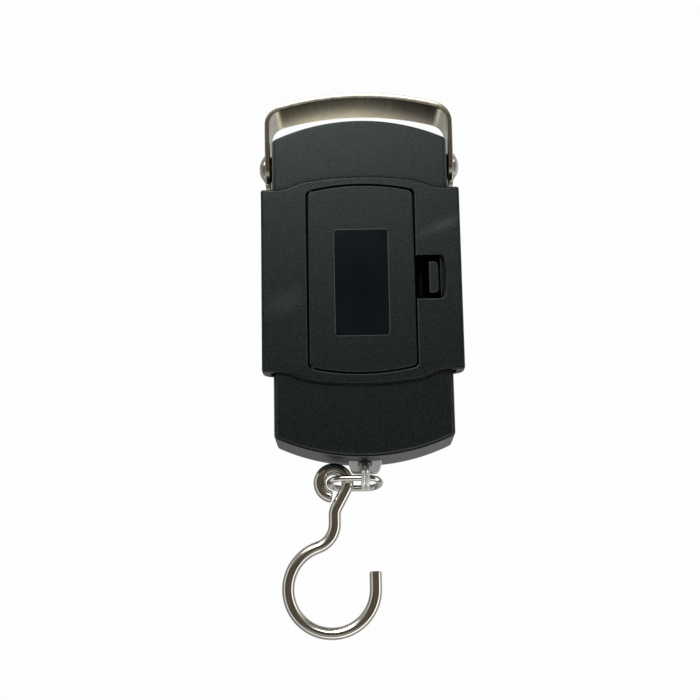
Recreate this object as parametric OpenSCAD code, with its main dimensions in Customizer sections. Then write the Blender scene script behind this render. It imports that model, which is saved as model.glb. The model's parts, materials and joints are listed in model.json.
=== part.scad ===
// Digital luggage scale, hanging from its strap handle. The battery door faces -Y, the display
// faces +Y, +Z is up. The origin is the underside of the strap's crown, where a hand holds it.

/* [Housing] */
// Width over the sleeve round the middle of the housing
sleeve_w = 64; // [64:0.5:67]
// Height of the rear plate, peak to peak of its arched ends
plate_h = 110; // [108:1:116]
// Wall thickness of the mouldings
wall = 1.6; // [1.4:0.1:1.7]
// Depth of the front shell in front of the pivot line
front_d = 12; // [12:0.5:14]
/* [Battery door] */
// Width of the door
door_w = 34; // [33.4:0.2:35]
// Height of the door, peak to peak
door_h = 61.6; // [61:0.2:64]
// Gap round the door
door_gap = 0.5; // [0.3:0.1:0.6]
// Width of the recessed label
label_w = 17; // [12:1:18]
// Height of the recessed label
label_h = 34.7; // [20:1:36]
/* [Handle] */
// Width of the steel strap across its crown
crown_w = 18.8; // [16:0.2:20]
// Width of the steel strap at its pivots
strap_w = 16; // [12:1:16]
// Thickness of the steel strap
strap_t = 1.7; // [1.5:0.1:2]
// Height of the strap's pivot above the middle of the housing
pivot_z = 42.7; // [42:0.1:43]
/* [Hook] */
// Wire diameter of the hook
hook_wire = 3.9; // [3:0.1:4]
// Radius of the hook's bowl, to the middle of the wire
bowl_r = 13.8; // [12.5:0.1:15]
// Wire diameter of the chain link
link_wire = 2; // [1.6:0.1:2.1]
// Wire diameter of the split ring
ring_wire = 1.4; // [1:0.1:1.4]
/* [Display] */
// Width of the display glass
lcd_w = 34; // [30:1:34]
// Height of the display glass
lcd_h = 15; // [12:0.5:15]
// Travel of the buttons
button_travel = 0.6; // [0.3:0.1:0.6]

/* [Hidden] */
$fn = 48;
plastic = [0.25, 0.26, 0.26];
steel = [0.78, 0.78, 0.76];

// Levels along Y, from the rear face forwards
sleeve_y = -13.1;
plate_y = sleeve_y + 1.6;
groove_y = plate_y + 0.75;
rim_y = groove_y + 0.45;
deck_y = -10;
lap_y = -8.6;
wing_y = -8.3;
front_y = front_d;
front_in = front_y - wall;
pad_y = front_y + 1.4;
pad_in = pad_y - wall;
bezel_y = pad_y + 1;
pcb_y = 7.4;
pcb_t = 1;
cell_y = 1.1;
cell_t = 5.5;

// Outlines of the mouldings, half widths and end arcs
sleeve_hw = sleeve_w / 2;
shell_hw = sleeve_hw - 3.6;
plate_hw = sleeve_hw - 4.35;
plate_pk = plate_h / 2;
plate_corner = 1;
shell_pk = plate_pk + 0.6;
end_r = 65.6;
lap_hw = shell_hw - wall - 0.35;
lap_pk = shell_pk - wall - 0.35;
lap_t = 1.2;
sleeve_top = 31.6;
sleeve_bot = -28.5;
arch_top = 35.6;
arch_bot = -32.55;
arch_r = 110;
blend_in = 18;
blend_out = 27;
wing_r = 5.3;
wing_t = 1.2;
pad_hw = 24.5;
pad_pk = 38;

// Battery door, its well and its latch
door_z = 1.7;
door_t = 1.8;
door_hw = door_w / 2;
door_pk = door_h / 2;
door_r = 71.6;
door_corner = 2;
door_back = sleeve_y + door_t;
ledge_y = door_back + 0.2;
knuckle_x = door_t / 2 - door_hw;
knuckle_y = sleeve_y + door_t / 2;
peg_r = 0.55;
peg_l = 3.4;
peg_z = door_pk - 3.4;
run_fit = 0.05;
well_hw = 11.2;
well_hh = 25;
well_t = 1;
well_floor = 0.6;
pocket_hw = 7.15;
pocket_x0 = 14.4;
pocket_x1 = 26.9;
pocket_step_x = 25.3;
pocket_step_y = -11;
pocket_floor = -3.6;
latch_hh = 5.15;
latch_t = 0.9;
latch_x0 = 15.4;
latch_x1 = 22.5;
latch_cx = (latch_x0 + latch_x1) / 2;
latch_cy = -7.6;
latch_r = (latch_x1 - latch_x0) / 2;
tab_x = 24.5;
tab_y = -12.1;
tab_t = 1.2;
nose_x = 25;
nose_y = -9.9;
nose_t = 0.9;
label_depth = 0.5;
boss_x = 15;
boss_dz = 22;
boss_r = 2.5;
boss_y = -6.9;
shell_screw_y = -10.7;
shell_screw_h = 1.2;
shell_screw_r = 0.95;
shell_screw_end = 3;
shell_head_r = 1.8;
board_screw_r = 0.75;
board_head_r = 1.6;

// Handle, in the plane of its bend
crown_z = 65.7;
strap_hw = 30.84;
crown_r = 95.8;
bend_r = 7;
grip_z = crown_z - strap_t;
shoulder_r = 2.45;
thread_r = 1.95;
head_r = 4.5;
head_h = 2.1;
head_dome_r = 6.2;
head_x = strap_hw + 0.1;
slot_hw = 0.4;
slot_l = 2;
slot_depth = 1.2;
washer_r = 4.2;
ear_x = 26.2;
ear_l = 6;
ear_r = 4;
bar_hh = 3.5;
yoke_hole_r = 2;
bolt_pad = 3;

// Suspension, from the lug to the hook
lug_t = 2.2;
eye_z = -55.7;
eye_r = 2;
lug_end = -59.5;
lug_hw = 5.3;
lug_waist_z = -35;
lug_top_z = -25;
lug_foot_z = -56.2;
lug_corner = 1.6;
lug_foot_x = 3.1;
ring_z = -60.3;
ring_r = 3.95;
ring_pitch = 0.72;
near_y = -1.9;
near_z = -61;
link_w = 8.2;
link_x0 = -7.4;
link_x1 = 0.5;
link_tilt = -16.3;
hook_y = 1.94;
loop_x = -10.2;
loop_z = -62;
loop_r = 4.45;
end_gap = 0.15;
lean = 28.6;
neck_r = 6;
shank_x = -10;
bowl_x = -11.2;
bowl_z = -95.5;
throat_r = 7.9;
tip_l = 5.3;
tip_bevel = 0.4;
joint_gap = 0.05;
joint_swell = 0.03;

// Display, buttons and board
lcd_z = 12;
lcd_y = 10.8;
lcd_t = 1.8;
button_x = 13;
button_z = -11;
button_w = 9.6;
button_h = 5.6;
board_hw = 22;
board_z0 = -24.6;
board_z1 = 27.4;
board_screw_x = 19.6;
board_screw_z = [25, -22];
chip_x0 = 12;
chip_x1 = 19;
chip_z0 = -4;
chip_z1 = 3;
chip_t = 1.2;
switch_hw = 2.6;
switch_t = 1.5;
plunger_r = 1.1;
flange = 1.2;
button_rise = 0.6;
strip_hh = 0.9;
holder_t = 1.4;
holder_gap = 1.1;
cell_hw = 9;
cell_z0 = -32;
cell_z1 = 35.4;
cell_bolts = [31.9, -28.5];
bolt_x = 4.5;
bolt_hole_r = 1.6;
bolt_r = 1.45;
bolt_head_r = 2.7;
bolt_head_h = 1.7;
bolt_tip_y = 4.6;
socket_r = 1.25;
web_z = 7.2;
web_cut = 1.2;
web_x = 4.3;
web_r = 2.7;
web_left = 3;
gauge_t = 0.15;
gauge_hw = 1.5;

// Batteries
aaa_r = 5.25;
aaa_l = 43.7;
nub_r = 1.9;
nub_l = 0.8;
aaa_y = -6;
aaa_x = 5.55;
aaa_shift = 0.35;
contact_hw = 4.6;
bridge_hw = 10.2;
contact_y0 = -10.4;
contact_y1 = -1.8;
contact_t = 0.4;
coil_turns = 3;
coil_r0 = 3.9;
coil_r1 = 2.4;
coil_wire = 0.5;

// Wiring
cable_r = 0.7;
cable_x = 11.2;
cable_y = 5.4;
cable_dz = 12;
cable_end_z = -10;
wire_r = 0.5;
wire_x = 8.5;
wire_y = -3;
wire_side_x = 18.5;
wire_front_y = 4.5;
wire_top_z = 29.4;
wire_end_z = 15;

// Puts a shape that is drawn about the middle of the housing into the hanging frame
module hang() {
    translate([0, 0, -grip_z]) children();
}

// Extrudes an X-Z outline from depth y0 to depth y1
module prism(y0, y1) {
    translate([0, y1, 0]) rotate([90, 0, 0]) linear_extrude(y1 - y0) children();
}

// Bar between two corners
module block(a, b) {
    translate(a) cube(b - a);
}

// Cylinder along Y from y0 to y1
module peg_y(x, z, r, y0, y1) {
    translate([x, y1, z]) rotate([90, 0, 0]) cylinder(r = r, h = y1 - y0);
}

// Cylinder along X from x0 to x1
module peg_x(y, z, r, x0, x1) {
    translate([x0, y, z]) rotate([0, 90, 0]) cylinder(r = r, h = x1 - x0);
}

// Arc points about c, from angle a0 to a1
function arc(c, r, a0, a1, n) =
    [for (i = [0:n]) let (a = a0 + (a1 - a0) * i / n) c + r * [cos(a), sin(a)]];

// One arched end: a rounded corner, the wide arc and the other corner
function arched_end(w, peak, R, r) =
    let (cx = w - r, drop = sqrt(pow(R - r, 2) - cx * cx), a = atan2(drop, cx))
    concat(arc([cx, peak - R + drop], r, 0, a, 6), arc([0, peak - R], R, a, 180 - a, 14),
        arc([-cx, peak - R + drop], r, 180 - a, 180, 6));

// Slab outline with straight sides, arched ends and rounded corners
function arched(w, peak, R, r) =
    let (top = arched_end(w, peak, R, r)) concat(top, [for (p = top) -p]);

// Edge of the sleeve: straight shoulders that rise through a smooth step to a flat arch
function step_at(x) =
    let (t = min(1, max(0, (blend_out - abs(x)) / (blend_out - blend_in)))) t * t * (3 - 2 * t);
function sleeve_edge(x, shoulder, peak, R) =
    shoulder + (peak - x * x / (2 * R) - shoulder) * step_at(x);
function sleeve_outline(n) =
    concat([for (i = [0:n]) let (x = sleeve_hw * (1 - 2 * i / n))
            [x, sleeve_edge(x, sleeve_top, arch_top, arch_r)]],
        [for (i = [0:n]) let (x = sleeve_hw * (2 * i / n - 1))
            [x, sleeve_edge(x, sleeve_bot, arch_bot, -arch_r)]]);

// Door outline, grown by g all round; the corner radius stays, so the opening clears the door as it turns
module door_outline(g) {
    translate([0, door_z]) polygon(arched(door_hw + g, door_pk + g, door_r + g, door_corner));
}

// The four screw positions under the door
module at_bosses() {
    for (x = [-boss_x, boss_x], z = [door_z - boss_dz, door_z + boss_dz]) translate([x, 0, z]) children();
}

// Stadium outline of a button
module stadium(w, h) {
    translate([(h - w) / 2, 0]) circle(d = h);
    translate([(w - h) / 2, 0]) circle(d = h);
    square([w - h, h], center = true);
}

// Cross-section of the sleeve, seen from above: flat rear face and two wings that curl in
module sleeve_section() {
    difference() {
        union() {
            translate([1 - sleeve_hw, sleeve_y]) square([sleeve_w - 2, 1]);
            translate([-sleeve_hw, sleeve_y + 1]) square([sleeve_w, wing_y - sleeve_y - 1]);
            for (s = [-1, 1]) {
                translate([s * (sleeve_hw - 1), sleeve_y + 1]) circle(r = 1);
                translate([s * (sleeve_hw - wing_r), wing_y]) circle(r = wing_r);
            }
        }
        translate([-shell_hw - 0.15, rim_y - 0.1]) square([2 * shell_hw + 0.3, front_d]);
        for (s = [-1, 1]) intersection() {
            translate([s * (sleeve_hw - wing_r), wing_y]) circle(r = wing_r - wing_t);
            translate([s * (shell_hw + 1), wing_y]) square([2.4, 2 * wing_r], center = true);
        }
    }
}

module rear_shell() color(plastic) hang() difference() {
    union() {
        difference() {
            union() {
                prism(plate_y, groove_y) polygon(arched(plate_hw, plate_pk, end_r, plate_corner));
                prism(groove_y, lap_y) polygon(arched(lap_hw, lap_pk, end_r, 1.5));
                intersection() {
                    translate([0, 0, -plate_pk]) linear_extrude(plate_h) sleeve_section();
                    prism(sleeve_y, 0) polygon(sleeve_outline(48));
                }
            }
            prism(deck_y, 0) polygon(arched(lap_hw - lap_t, lap_pk - lap_t, end_r, 1));
            prism(plate_y, deck_y + 1) translate([-26, -26]) square([6.4, 54]);
            prism(plate_y, deck_y + 1) for (z = [-26, 11]) translate([19.6, z]) square([6.4, 17]);
        }
        block([-well_hw - well_t, ledge_y, door_z - well_hh - well_t],
            [well_hw + well_t, well_floor, door_z + well_hh + well_t]);
        block([pocket_x0 - well_t, pocket_step_y, door_z - pocket_hw - well_t],
            [pocket_step_x + well_t, pocket_floor + well_t, door_z + pocket_hw + well_t]);
        at_bosses() peg_y(0, 0, boss_r + 0.2, deck_y - 0.5, boss_y - 0.1);
    }
    prism(sleeve_y - 1, ledge_y) door_outline(door_gap);
    block([-well_hw, sleeve_y, door_z - well_hh], [well_hw, well_floor - 1.2, door_z + well_hh]);
    block([pocket_x0, ledge_y - 1, door_z - pocket_hw], [pocket_step_x, pocket_floor, door_z + pocket_hw]);
    prism(sleeve_y - 1, pocket_step_y) translate([door_hw, door_z - pocket_hw])
        square([pocket_x1 - door_hw, 2 * pocket_hw]);
    at_bosses() {
        peg_y(0, 0, shell_head_r + 0.1, ledge_y - 1, shell_screw_y + shell_screw_h);
        peg_y(0, 0, shell_screw_r + 0.2, -10, 0);
    }
    for (s = [-1, 1]) translate([knuckle_x, knuckle_y, door_z + s * (peg_z + peg_l / 2 + 0.25)])
        cylinder(r = peg_r + run_fit, h = peg_l + 1, center = true);
}

module front_shell() color([0.33, 0.34, 0.34]) hang() difference() {
    union() {
        difference() {
            union() {
                prism(rim_y, front_y - 2.6) polygon(arched(shell_hw, shell_pk, end_r, 2.5));
                hull() {
                    prism(front_y - 2.6, front_y - 2.5) polygon(arched(shell_hw, shell_pk, end_r, 2.5));
                    prism(front_y - 2.5, front_y - 0.8)
                        polygon(arched(shell_hw - 0.8, shell_pk - 0.8, end_r - 0.8, 2.2));
                    prism(front_y - 0.8, front_y)
                        polygon(arched(shell_hw - 2.4, shell_pk - 2.4, end_r - 2.4, 2));
                }
                prism(front_in, pad_y) polygon(arched(pad_hw, pad_pk, end_r, 3));
            }
            prism(rim_y - 1, front_in) polygon(arched(shell_hw - wall, shell_pk - wall, end_r, 1.5));
            prism(front_in - 1, pad_in) polygon(arched(pad_hw - wall, pad_pk - wall, end_r, 2));
        }
        at_bosses() peg_y(0, 0, boss_r, boss_y, pad_in + 0.2);
        for (s = [-1, 1], z = board_screw_z)
            peg_y(s * board_screw_x, z, 2, pcb_y + pcb_t, pad_in + 0.2);
    }
    at_bosses() peg_y(0, 0, 1, boss_y - 1, 4);
    for (s = [-1, 1], z = board_screw_z) peg_y(s * board_screw_x, z, 0.8, pcb_y, pad_in + 0.6);
    for (s = [-1, 1]) peg_x(0, pivot_z, shoulder_r + 0.25, s * (shell_hw - 1) - 2, s * (shell_hw - 1) + 2);
    block([-lug_hw - 0.3, -lug_t / 2 - 0.4, -shell_pk - 1], [lug_hw + 0.3, lug_t / 2 + 0.4, -shell_pk + 3]);
    block([-lcd_w / 2 - 0.4, pad_in - 1, lcd_z - lcd_h / 2 - 0.4],
        [lcd_w / 2 + 0.4, pad_y + 1, lcd_z + lcd_h / 2 + 0.4]);
    for (x = [-button_x, 0, button_x]) translate([x, 0, button_z])
        prism(pad_in - 1, pad_y + 1) stadium(button_w + 0.5, button_h + 0.5);
}

module front_bezel() color([0.05, 0.05, 0.06]) hang() difference() {
    prism(pad_y, bezel_y) polygon(arched(pad_hw - 1, pad_pk - 1, end_r - 1, 2.5));
    block([-lcd_w / 2 + 1.6, pad_y - 1, lcd_z - lcd_h / 2 + 1.4],
        [lcd_w / 2 - 1.6, bezel_y + 1, lcd_z + lcd_h / 2 - 1.4]);
    block([-lcd_w / 2 + 0.2, pad_y + 0.3, lcd_z - lcd_h / 2 + 0.2],
        [lcd_w / 2 - 0.2, bezel_y + 1, lcd_z + lcd_h / 2 - 0.2]);
    for (x = [-button_x, 0, button_x]) translate([x, 0, button_z])
        prism(pad_y - 1, bezel_y + 1) stadium(button_w + 0.5, button_h + 0.5);
}

module display_window() color([0.6, 0.65, 0.68, 0.5]) hang()
    block([-lcd_w / 2 + 0.3, pad_y + 0.3, lcd_z - lcd_h / 2 + 0.3],
        [lcd_w / 2 - 0.3, bezel_y - 0.05, lcd_z + lcd_h / 2 - 0.3]);

module battery_door() color(plastic) hang() {
    difference() {
        intersection() {
            prism(sleeve_y, door_back) door_outline(0);
            translate([0, 0, door_z - door_h / 2]) linear_extrude(door_h) {
                translate([knuckle_x, sleeve_y]) square([door_w, door_t]);
                translate([knuckle_x, knuckle_y]) circle(r = door_t / 2);
            }
        }
        prism(sleeve_y - 1, sleeve_y + label_depth) translate([0, door_z - 1.5])
            square([label_w, label_h], center = true);
    }
    for (s = [-1, 1]) translate([knuckle_x, knuckle_y, door_z + s * (peg_z + peg_l / 2)])
        cylinder(r = peg_r, h = peg_l, center = true);
    block([latch_x0, door_back - 0.1, door_z - latch_hh],
        [latch_x0 + latch_t, latch_cy - 0.05, door_z + latch_hh]);
}

module label_plate() color([0.08, 0.09, 0.13]) hang()
    prism(sleeve_y + 0.15, sleeve_y + label_depth) translate([0, door_z - 1.5])
        square([label_w - 0.2, label_h - 0.2], center = true);

// Sprung finger latch: half a ring, a leg and the finger tab with its nose
module door_latch() color(plastic) hang() translate([0, 0, door_z - latch_hh])
    linear_extrude(2 * latch_hh) {
        difference() {
            translate([latch_cx, latch_cy]) circle(r = latch_r);
            translate([latch_cx, latch_cy]) circle(r = latch_r - latch_t);
            translate([latch_x0 - 1, latch_cy - 10]) square([10, 10]);
        }
        translate([latch_x1 - latch_t, tab_y]) square([latch_t, latch_cy - tab_y]);
        translate([latch_x1 - latch_t, tab_y]) square([tab_x - latch_x1 + latch_t, tab_t]);
        translate([latch_x1 - latch_t, nose_y]) square([nose_x - latch_x1 + latch_t, nose_t]);
    }

// Outline of the strap seen from the front, at inset t from the outer face
function strap_line(t) =
    concat([[strap_hw - t, pivot_z - strap_w]],
        arched_end(strap_hw - t, crown_z - t, crown_r - t, bend_r - t),
        [[t - strap_hw, pivot_z - strap_w]]);

// Tapers from the crown down to the pivots
module handle_strap() color(steel) hang() difference() {
    intersection() {
        prism(-crown_w / 2, crown_w / 2) difference() {
            polygon(strap_line(0));
            polygon(strap_line(strap_t));
        }
        union() {
            translate([-strap_hw, 0, 0]) rotate([90, 0, 90]) linear_extrude(2 * strap_hw)
                polygon([[-strap_w / 2, pivot_z], [strap_w / 2, pivot_z], [crown_w / 2, crown_z + 1],
                    [-crown_w / 2, crown_z + 1]]);
            peg_x(0, pivot_z, strap_w / 2, -strap_hw, strap_hw);
        }
    }
    for (s = [-1, 1]) peg_x(0, pivot_z, shoulder_r + run_fit, s * strap_hw - 3, s * strap_hw + 3);
}

// Shoulder screws, pointing inwards; the cross recess is cut into each domed head
module handle_screws() color(steel) hang() for (s = [-1, 1])
    translate([0, 0, pivot_z]) rotate([0, s * 90, 0]) difference() {
        union() {
            translate([0, 0, ear_x - ear_l + 0.5]) cylinder(r = thread_r, h = ear_l);
            translate([0, 0, ear_x]) cylinder(r = shoulder_r, h = head_x - ear_x);
            intersection() {
                translate([0, 0, head_x]) cylinder(r = head_r, h = head_h);
                translate([0, 0, head_x + head_h - head_dome_r]) sphere(r = head_dome_r);
            }
        }
        for (a = [0, 90]) rotate([0, 0, a])
            translate([-slot_l, -slot_hw, head_x + head_h - slot_depth])
                cube([2 * slot_l, 2 * slot_hw, head_h]);
    }

module strap_washers() color([0.85, 0.85, 0.82]) hang() for (s = [-1, 1]) {
    a = s > 0 ? shell_hw + 0.05 : 0.05 - strap_hw + strap_t;
    b = s > 0 ? strap_hw - strap_t - 0.05 : -shell_hw - 0.05;
    difference() {
        peg_x(0, pivot_z, washer_r, a, b);
        peg_x(0, pivot_z, shoulder_r + 0.1, a - 1, b + 1);
    }
}

// Die-cast crossbar that carries both handle screws and the top of the load cell
module yoke() color([0.6, 0.62, 0.65]) hang() difference() {
    union() {
        prism(-lug_t / 2, lug_t / 2) {
            translate([ear_l - ear_x, pivot_z - bar_hh]) square([2 * (ear_x - ear_l), 2 * bar_hh]);
            translate([-cell_hw, cell_bolts[0] - bolt_pad])
                square([2 * cell_hw, pivot_z - cell_bolts[0]]);
        }
        for (x = [-ear_x, ear_x - ear_l]) peg_x(0, pivot_z, ear_r, x, x + ear_l);
    }
    for (x = [-ear_x, ear_x - ear_l])
        peg_x(0, pivot_z, yoke_hole_r, x - (x < 0 ? 1 : 0), x + ear_l + (x > 0 ? 1 : 0));
    for (s = [-1, 1]) peg_y(s * bolt_x, cell_bolts[0], bolt_hole_r, -5, 5);
}

// S-shaped load cell: two opposed slots and a pair of round holes leave thin bending webs
module load_cell() color([0.75, 0.76, 0.78]) hang() difference() {
    block([-cell_hw, cell_y, cell_z0], [cell_hw, cell_y + cell_t, cell_z1]);
    block([-cell_hw - 1, cell_y - 1, door_z + web_z - web_cut],
        [cell_hw - web_left, cell_y + cell_t + 1, door_z + web_z]);
    block([web_left - cell_hw, cell_y - 1, door_z - web_z],
        [cell_hw + 1, cell_y + cell_t + 1, door_z - web_z + web_cut]);
    for (s = [-1, 1]) peg_y(s * web_x, door_z, web_r, cell_y - 1, cell_y + cell_t + 1);
    block([-web_x, cell_y - 1, door_z - web_cut / 2], [web_x, cell_y + cell_t + 1, door_z + web_cut / 2]);
    for (s = [-1, 1], z = cell_bolts) peg_y(s * bolt_x, z, bolt_r + 0.05, 0, bolt_tip_y + 0.6);
}

// Foil gauges bonded to the bending webs
module strain_gauges() color([0.85, 0.6, 0.25]) hang() for (x = [-web_x, web_x], s = [-1, 1]) {
    z = s > 0 ? door_z + web_z - web_cut : door_z - web_z + web_cut - gauge_t;
    block([x - gauge_hw, cell_y + 1, z], [x + gauge_hw, cell_y + cell_t - 1, z + gauge_t]);
}

module cell_screws() color([0.55, 0.55, 0.57]) hang() for (s = [-1, 1], z = cell_bolts) difference() {
    union() {
        peg_y(s * bolt_x, z, bolt_head_r, -lug_t / 2 - bolt_head_h, -lug_t / 2);
        peg_y(s * bolt_x, z, bolt_r, -lug_t / 2 - 0.5, bolt_tip_y);
    }
    translate([s * bolt_x, -lug_t / 2 - bolt_head_h, z]) rotate([90, 0, 0])
        cylinder(r = socket_r, h = 2, center = true, $fn = 6);
}

// Steel tongue bolted to the bottom of the load cell; its eye carries the ring
module hook_lug() color(steel) hang() difference() {
    prism(-lug_t / 2, lug_t / 2) polygon(concat(
        [[-cell_hw, lug_top_z], [cell_hw, lug_top_z], [cell_hw, lug_waist_z], [lug_hw, lug_waist_z],
            [lug_hw, lug_foot_z]],
        arc([lug_foot_x, lug_end + lug_corner], lug_corner, -15, -90, 6),
        arc([-lug_foot_x, lug_end + lug_corner], lug_corner, -90, -165, 6),
        [[-lug_hw, lug_foot_z], [-lug_hw, lug_waist_z], [-cell_hw, lug_waist_z]]));
    peg_y(0, eye_z, eye_r, -5, 5);
    for (s = [-1, 1]) peg_y(s * bolt_x, cell_bolts[1], bolt_hole_r, -5, 5);
}

// Double-turn split ring in the Y-Z plane
module connector_ring() color(steel) hang() translate([0, 0, ring_z]) rotate([0, 90, 0])
    for (s = [-1, 1]) translate([0, 0, s * (ring_pitch - 0.05)])
        rotate_extrude() translate([ring_r, 0]) circle(d = ring_wire);

// Part turn of round wire of radius r about the local Z axis, starting at angle a0
module wire_arc(R, r, a0, turn) {
    rotate([0, 0, a0]) rotate_extrude(angle = turn) translate([R, 0]) circle(r = r);
}

// Oval link lying almost flat, its near side inside the ring
module chain_link() color(steel) hang() translate([0, near_y, near_z]) rotate([link_tilt, 0, 0]) {
    for (y = [0, link_w]) peg_x(y, 0, link_wire / 2, link_x0, link_x1);
    translate([link_x0, link_w / 2, 0]) wire_arc(link_w / 2, link_wire / 2, 90, 180);
    translate([link_x1, link_w / 2, 0]) wire_arc(link_w / 2, link_wire / 2, -90, 180);
}

// Short sleeve at a joint of the hook's wire, a hair wider than the wire, lying at angle a
module collar(p, a) {
    translate(p) rotate([-90, 0, a]) cylinder(d = hook_wire + 2 * joint_swell, h = 0.5, center = true);
}

// Hook bent from one length of wire: closed eye, leaning neck, bowl and straight tip. The
// stretches stop just short of each other inside a collar.
module hook() color(steel) hang() translate([0, hook_y, 0]) rotate([90, 0, 0]) {
    wr = hook_wire / 2;
    throat_x = shank_x - throat_r;
    back = acos((throat_x - bowl_x) / (bowl_r + throat_r));
    throat_z = bowl_z + (bowl_r + throat_r) * sin(back);
    touch = [loop_x + loop_r * cos(lean), loop_z - loop_r * sin(lean)];
    neck_z = touch[1] + ((shank_x + neck_r - touch[0]) * cos(lean) - neck_r) / sin(lean);
    neck = [shank_x + neck_r * (1 - cos(lean)), neck_z + neck_r * sin(lean)];
    free_end = 360 - lean - acos((loop_r - wr - end_gap) / (loop_r + wr));
    bowl_start = [bowl_x + bowl_r * cos(back), bowl_z + bowl_r * sin(back)];
    bowl_end = [bowl_x + bowl_r, bowl_z];
    for (p = [touch, neck]) collar(p, -lean);
    for (p = [[shank_x, neck_z], [shank_x, throat_z], bowl_end]) collar(p, 0);
    collar(bowl_start, back);
    translate([loop_x, loop_z]) wire_arc(loop_r, wr, -lean, free_end + lean);
    translate(neck) rotate([-90, 0, -lean]) translate([0, 0, joint_gap])
        cylinder(r = wr, h = norm(touch - neck) - 2 * joint_gap);
    translate([shank_x + neck_r, neck_z]) wire_arc(neck_r, wr, 180 - lean, lean);
    translate([shank_x, throat_z + joint_gap]) rotate([-90, 0, 0])
        cylinder(r = wr, h = neck_z - throat_z - 2 * joint_gap);
    translate([throat_x, throat_z]) wire_arc(throat_r, wr, back - 179.5, 179.5 - back);
    translate([bowl_x, bowl_z]) wire_arc(bowl_r, wr, back, 360 - back);
    translate(bowl_end + [0, joint_gap]) rotate([-90, 0, 0]) {
        cylinder(r = wr, h = tip_l - tip_bevel);
        translate([0, 0, tip_l - tip_bevel]) cylinder(r1 = wr, r2 = wr - tip_bevel, h = tip_bevel);
    }
}

module main_pcb() color([0.1, 0.35, 0.2]) hang() difference() {
    block([-board_hw, pcb_y, board_z0], [board_hw, pcb_y + pcb_t, board_z1]);
    at_bosses() peg_y(0, 0, boss_r + 0.3, 0, 20);
    for (s = [-1, 1], z = board_screw_z) peg_y(s * board_screw_x, z, 0.9, 0, 20);
}

module controller_chip() color([0.05, 0.05, 0.05]) hang()
    block([chip_x0, pcb_y - chip_t, chip_z0], [chip_x1, pcb_y, chip_z1]);

module lcd_glass() color([0.55, 0.6, 0.55]) hang()
    block([-lcd_w / 2, lcd_y, lcd_z - lcd_h / 2], [lcd_w / 2, lcd_y + lcd_t, lcd_z + lcd_h / 2]);

module lcd_holder() color([0.9, 0.9, 0.88]) hang() difference() {
    block([-lcd_w / 2 - holder_t, pcb_y + pcb_t, lcd_z - lcd_h / 2 - holder_gap],
        [lcd_w / 2 + holder_t, pad_in - 0.05, lcd_z + lcd_h / 2 + holder_gap]);
    block([-lcd_w / 2 - 0.1, 0, lcd_z - lcd_h / 2 - 0.1], [lcd_w / 2 + 0.1, 20, lcd_z + lcd_h / 2 + 0.1]);
}

module zebra_strips() color([0.7, 0.45, 0.55]) hang() for (s = [-1, 1])
    translate([0, 0, lcd_z + s * (lcd_h / 2 - 1.2)])
        block([-lcd_w / 2 + 1, pcb_y + pcb_t, -strip_hh], [lcd_w / 2 - 1, lcd_y, strip_hh]);

// One push button: cap, retaining flange and stem
module button(x) {
    translate([x, 0, button_z]) {
        prism(pad_in - 0.5, bezel_y + button_rise) stadium(button_w, button_h);
        prism(pad_in - 1, pad_in - 0.1) stadium(button_w + 2 * flange, button_h + 2 * flange);
    }
}

module button_left() color([0.5, 0.52, 0.55]) hang() button(-button_x);

module button_middle() color([0.5, 0.52, 0.55]) hang() button(0);

module button_right() color([0.5, 0.52, 0.55]) hang() button(button_x);

module tact_switches() color([0.2, 0.2, 0.2]) hang() for (x = [-button_x, 0, button_x]) {
    block([x - switch_hw, pcb_y + pcb_t, button_z - switch_hw],
        [x + switch_hw, pcb_y + pcb_t + switch_t, button_z + switch_hw]);
    peg_y(x, button_z, plunger_r, pcb_y + pcb_t + 1, pad_in - 1.05 - button_travel);
}

module pcb_screws() color([0.7, 0.7, 0.7]) hang() for (s = [-1, 1], z = board_screw_z) {
    peg_y(s * board_screw_x, z, board_head_r, pcb_y - 1, pcb_y);
    peg_y(s * board_screw_x, z, board_screw_r, pcb_y - 0.5, pad_in + 0.3);
}

module shell_screws() color([0.7, 0.7, 0.7]) hang() at_bosses() difference() {
    union() {
        peg_y(0, 0, shell_head_r, shell_screw_y, shell_screw_y + shell_screw_h);
        peg_y(0, 0, shell_screw_r, shell_screw_y + 1, shell_screw_end);
    }
    for (a = [0, 90]) rotate([0, a, 0])
        block([-1, shell_screw_y - 0.3, -0.25], [1, shell_screw_y + 0.5, 0.25]);
}

// One AAA cell in the well; way is 1 with its button up and -1 with its button down
module cell(x, way) {
    translate([x, aaa_y, door_z + aaa_shift * way]) mirror([0, 0, way < 0 ? 1 : 0]) {
        translate([0, 0, -(aaa_l + nub_l) / 2]) cylinder(r = aaa_r, h = aaa_l);
        translate([0, 0, (aaa_l + nub_l) / 2 - nub_l]) cylinder(r = nub_r, h = nub_l);
    }
}

module battery_1() color([0.75, 0.6, 0.2]) hang() cell(-aaa_x, 1);

module battery_2() color([0.75, 0.6, 0.2]) hang() cell(aaa_x, -1);

// Nickel-plated plates at the ends of the well: two single ones and one bridge
module battery_contacts() color([0.8, 0.8, 0.78]) hang() {
    for (x = [-aaa_x, aaa_x]) block([x - contact_hw, contact_y0, door_z + well_hh - contact_t],
        [x + contact_hw, contact_y1, door_z + well_hh]);
    block([-bridge_hw, contact_y0, door_z - well_hh],
        [bridge_hw, contact_y1, door_z - well_hh + contact_t]);
}

// Point of a conical coil: turn fraction t, end radii r0 and r1, height h
function coil_at(t, turns, r0, r1, h) =
    let (a = 360 * turns * t, r = r0 + (r1 - r0) * t) [r * cos(a), r * sin(a), h * t];

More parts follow.
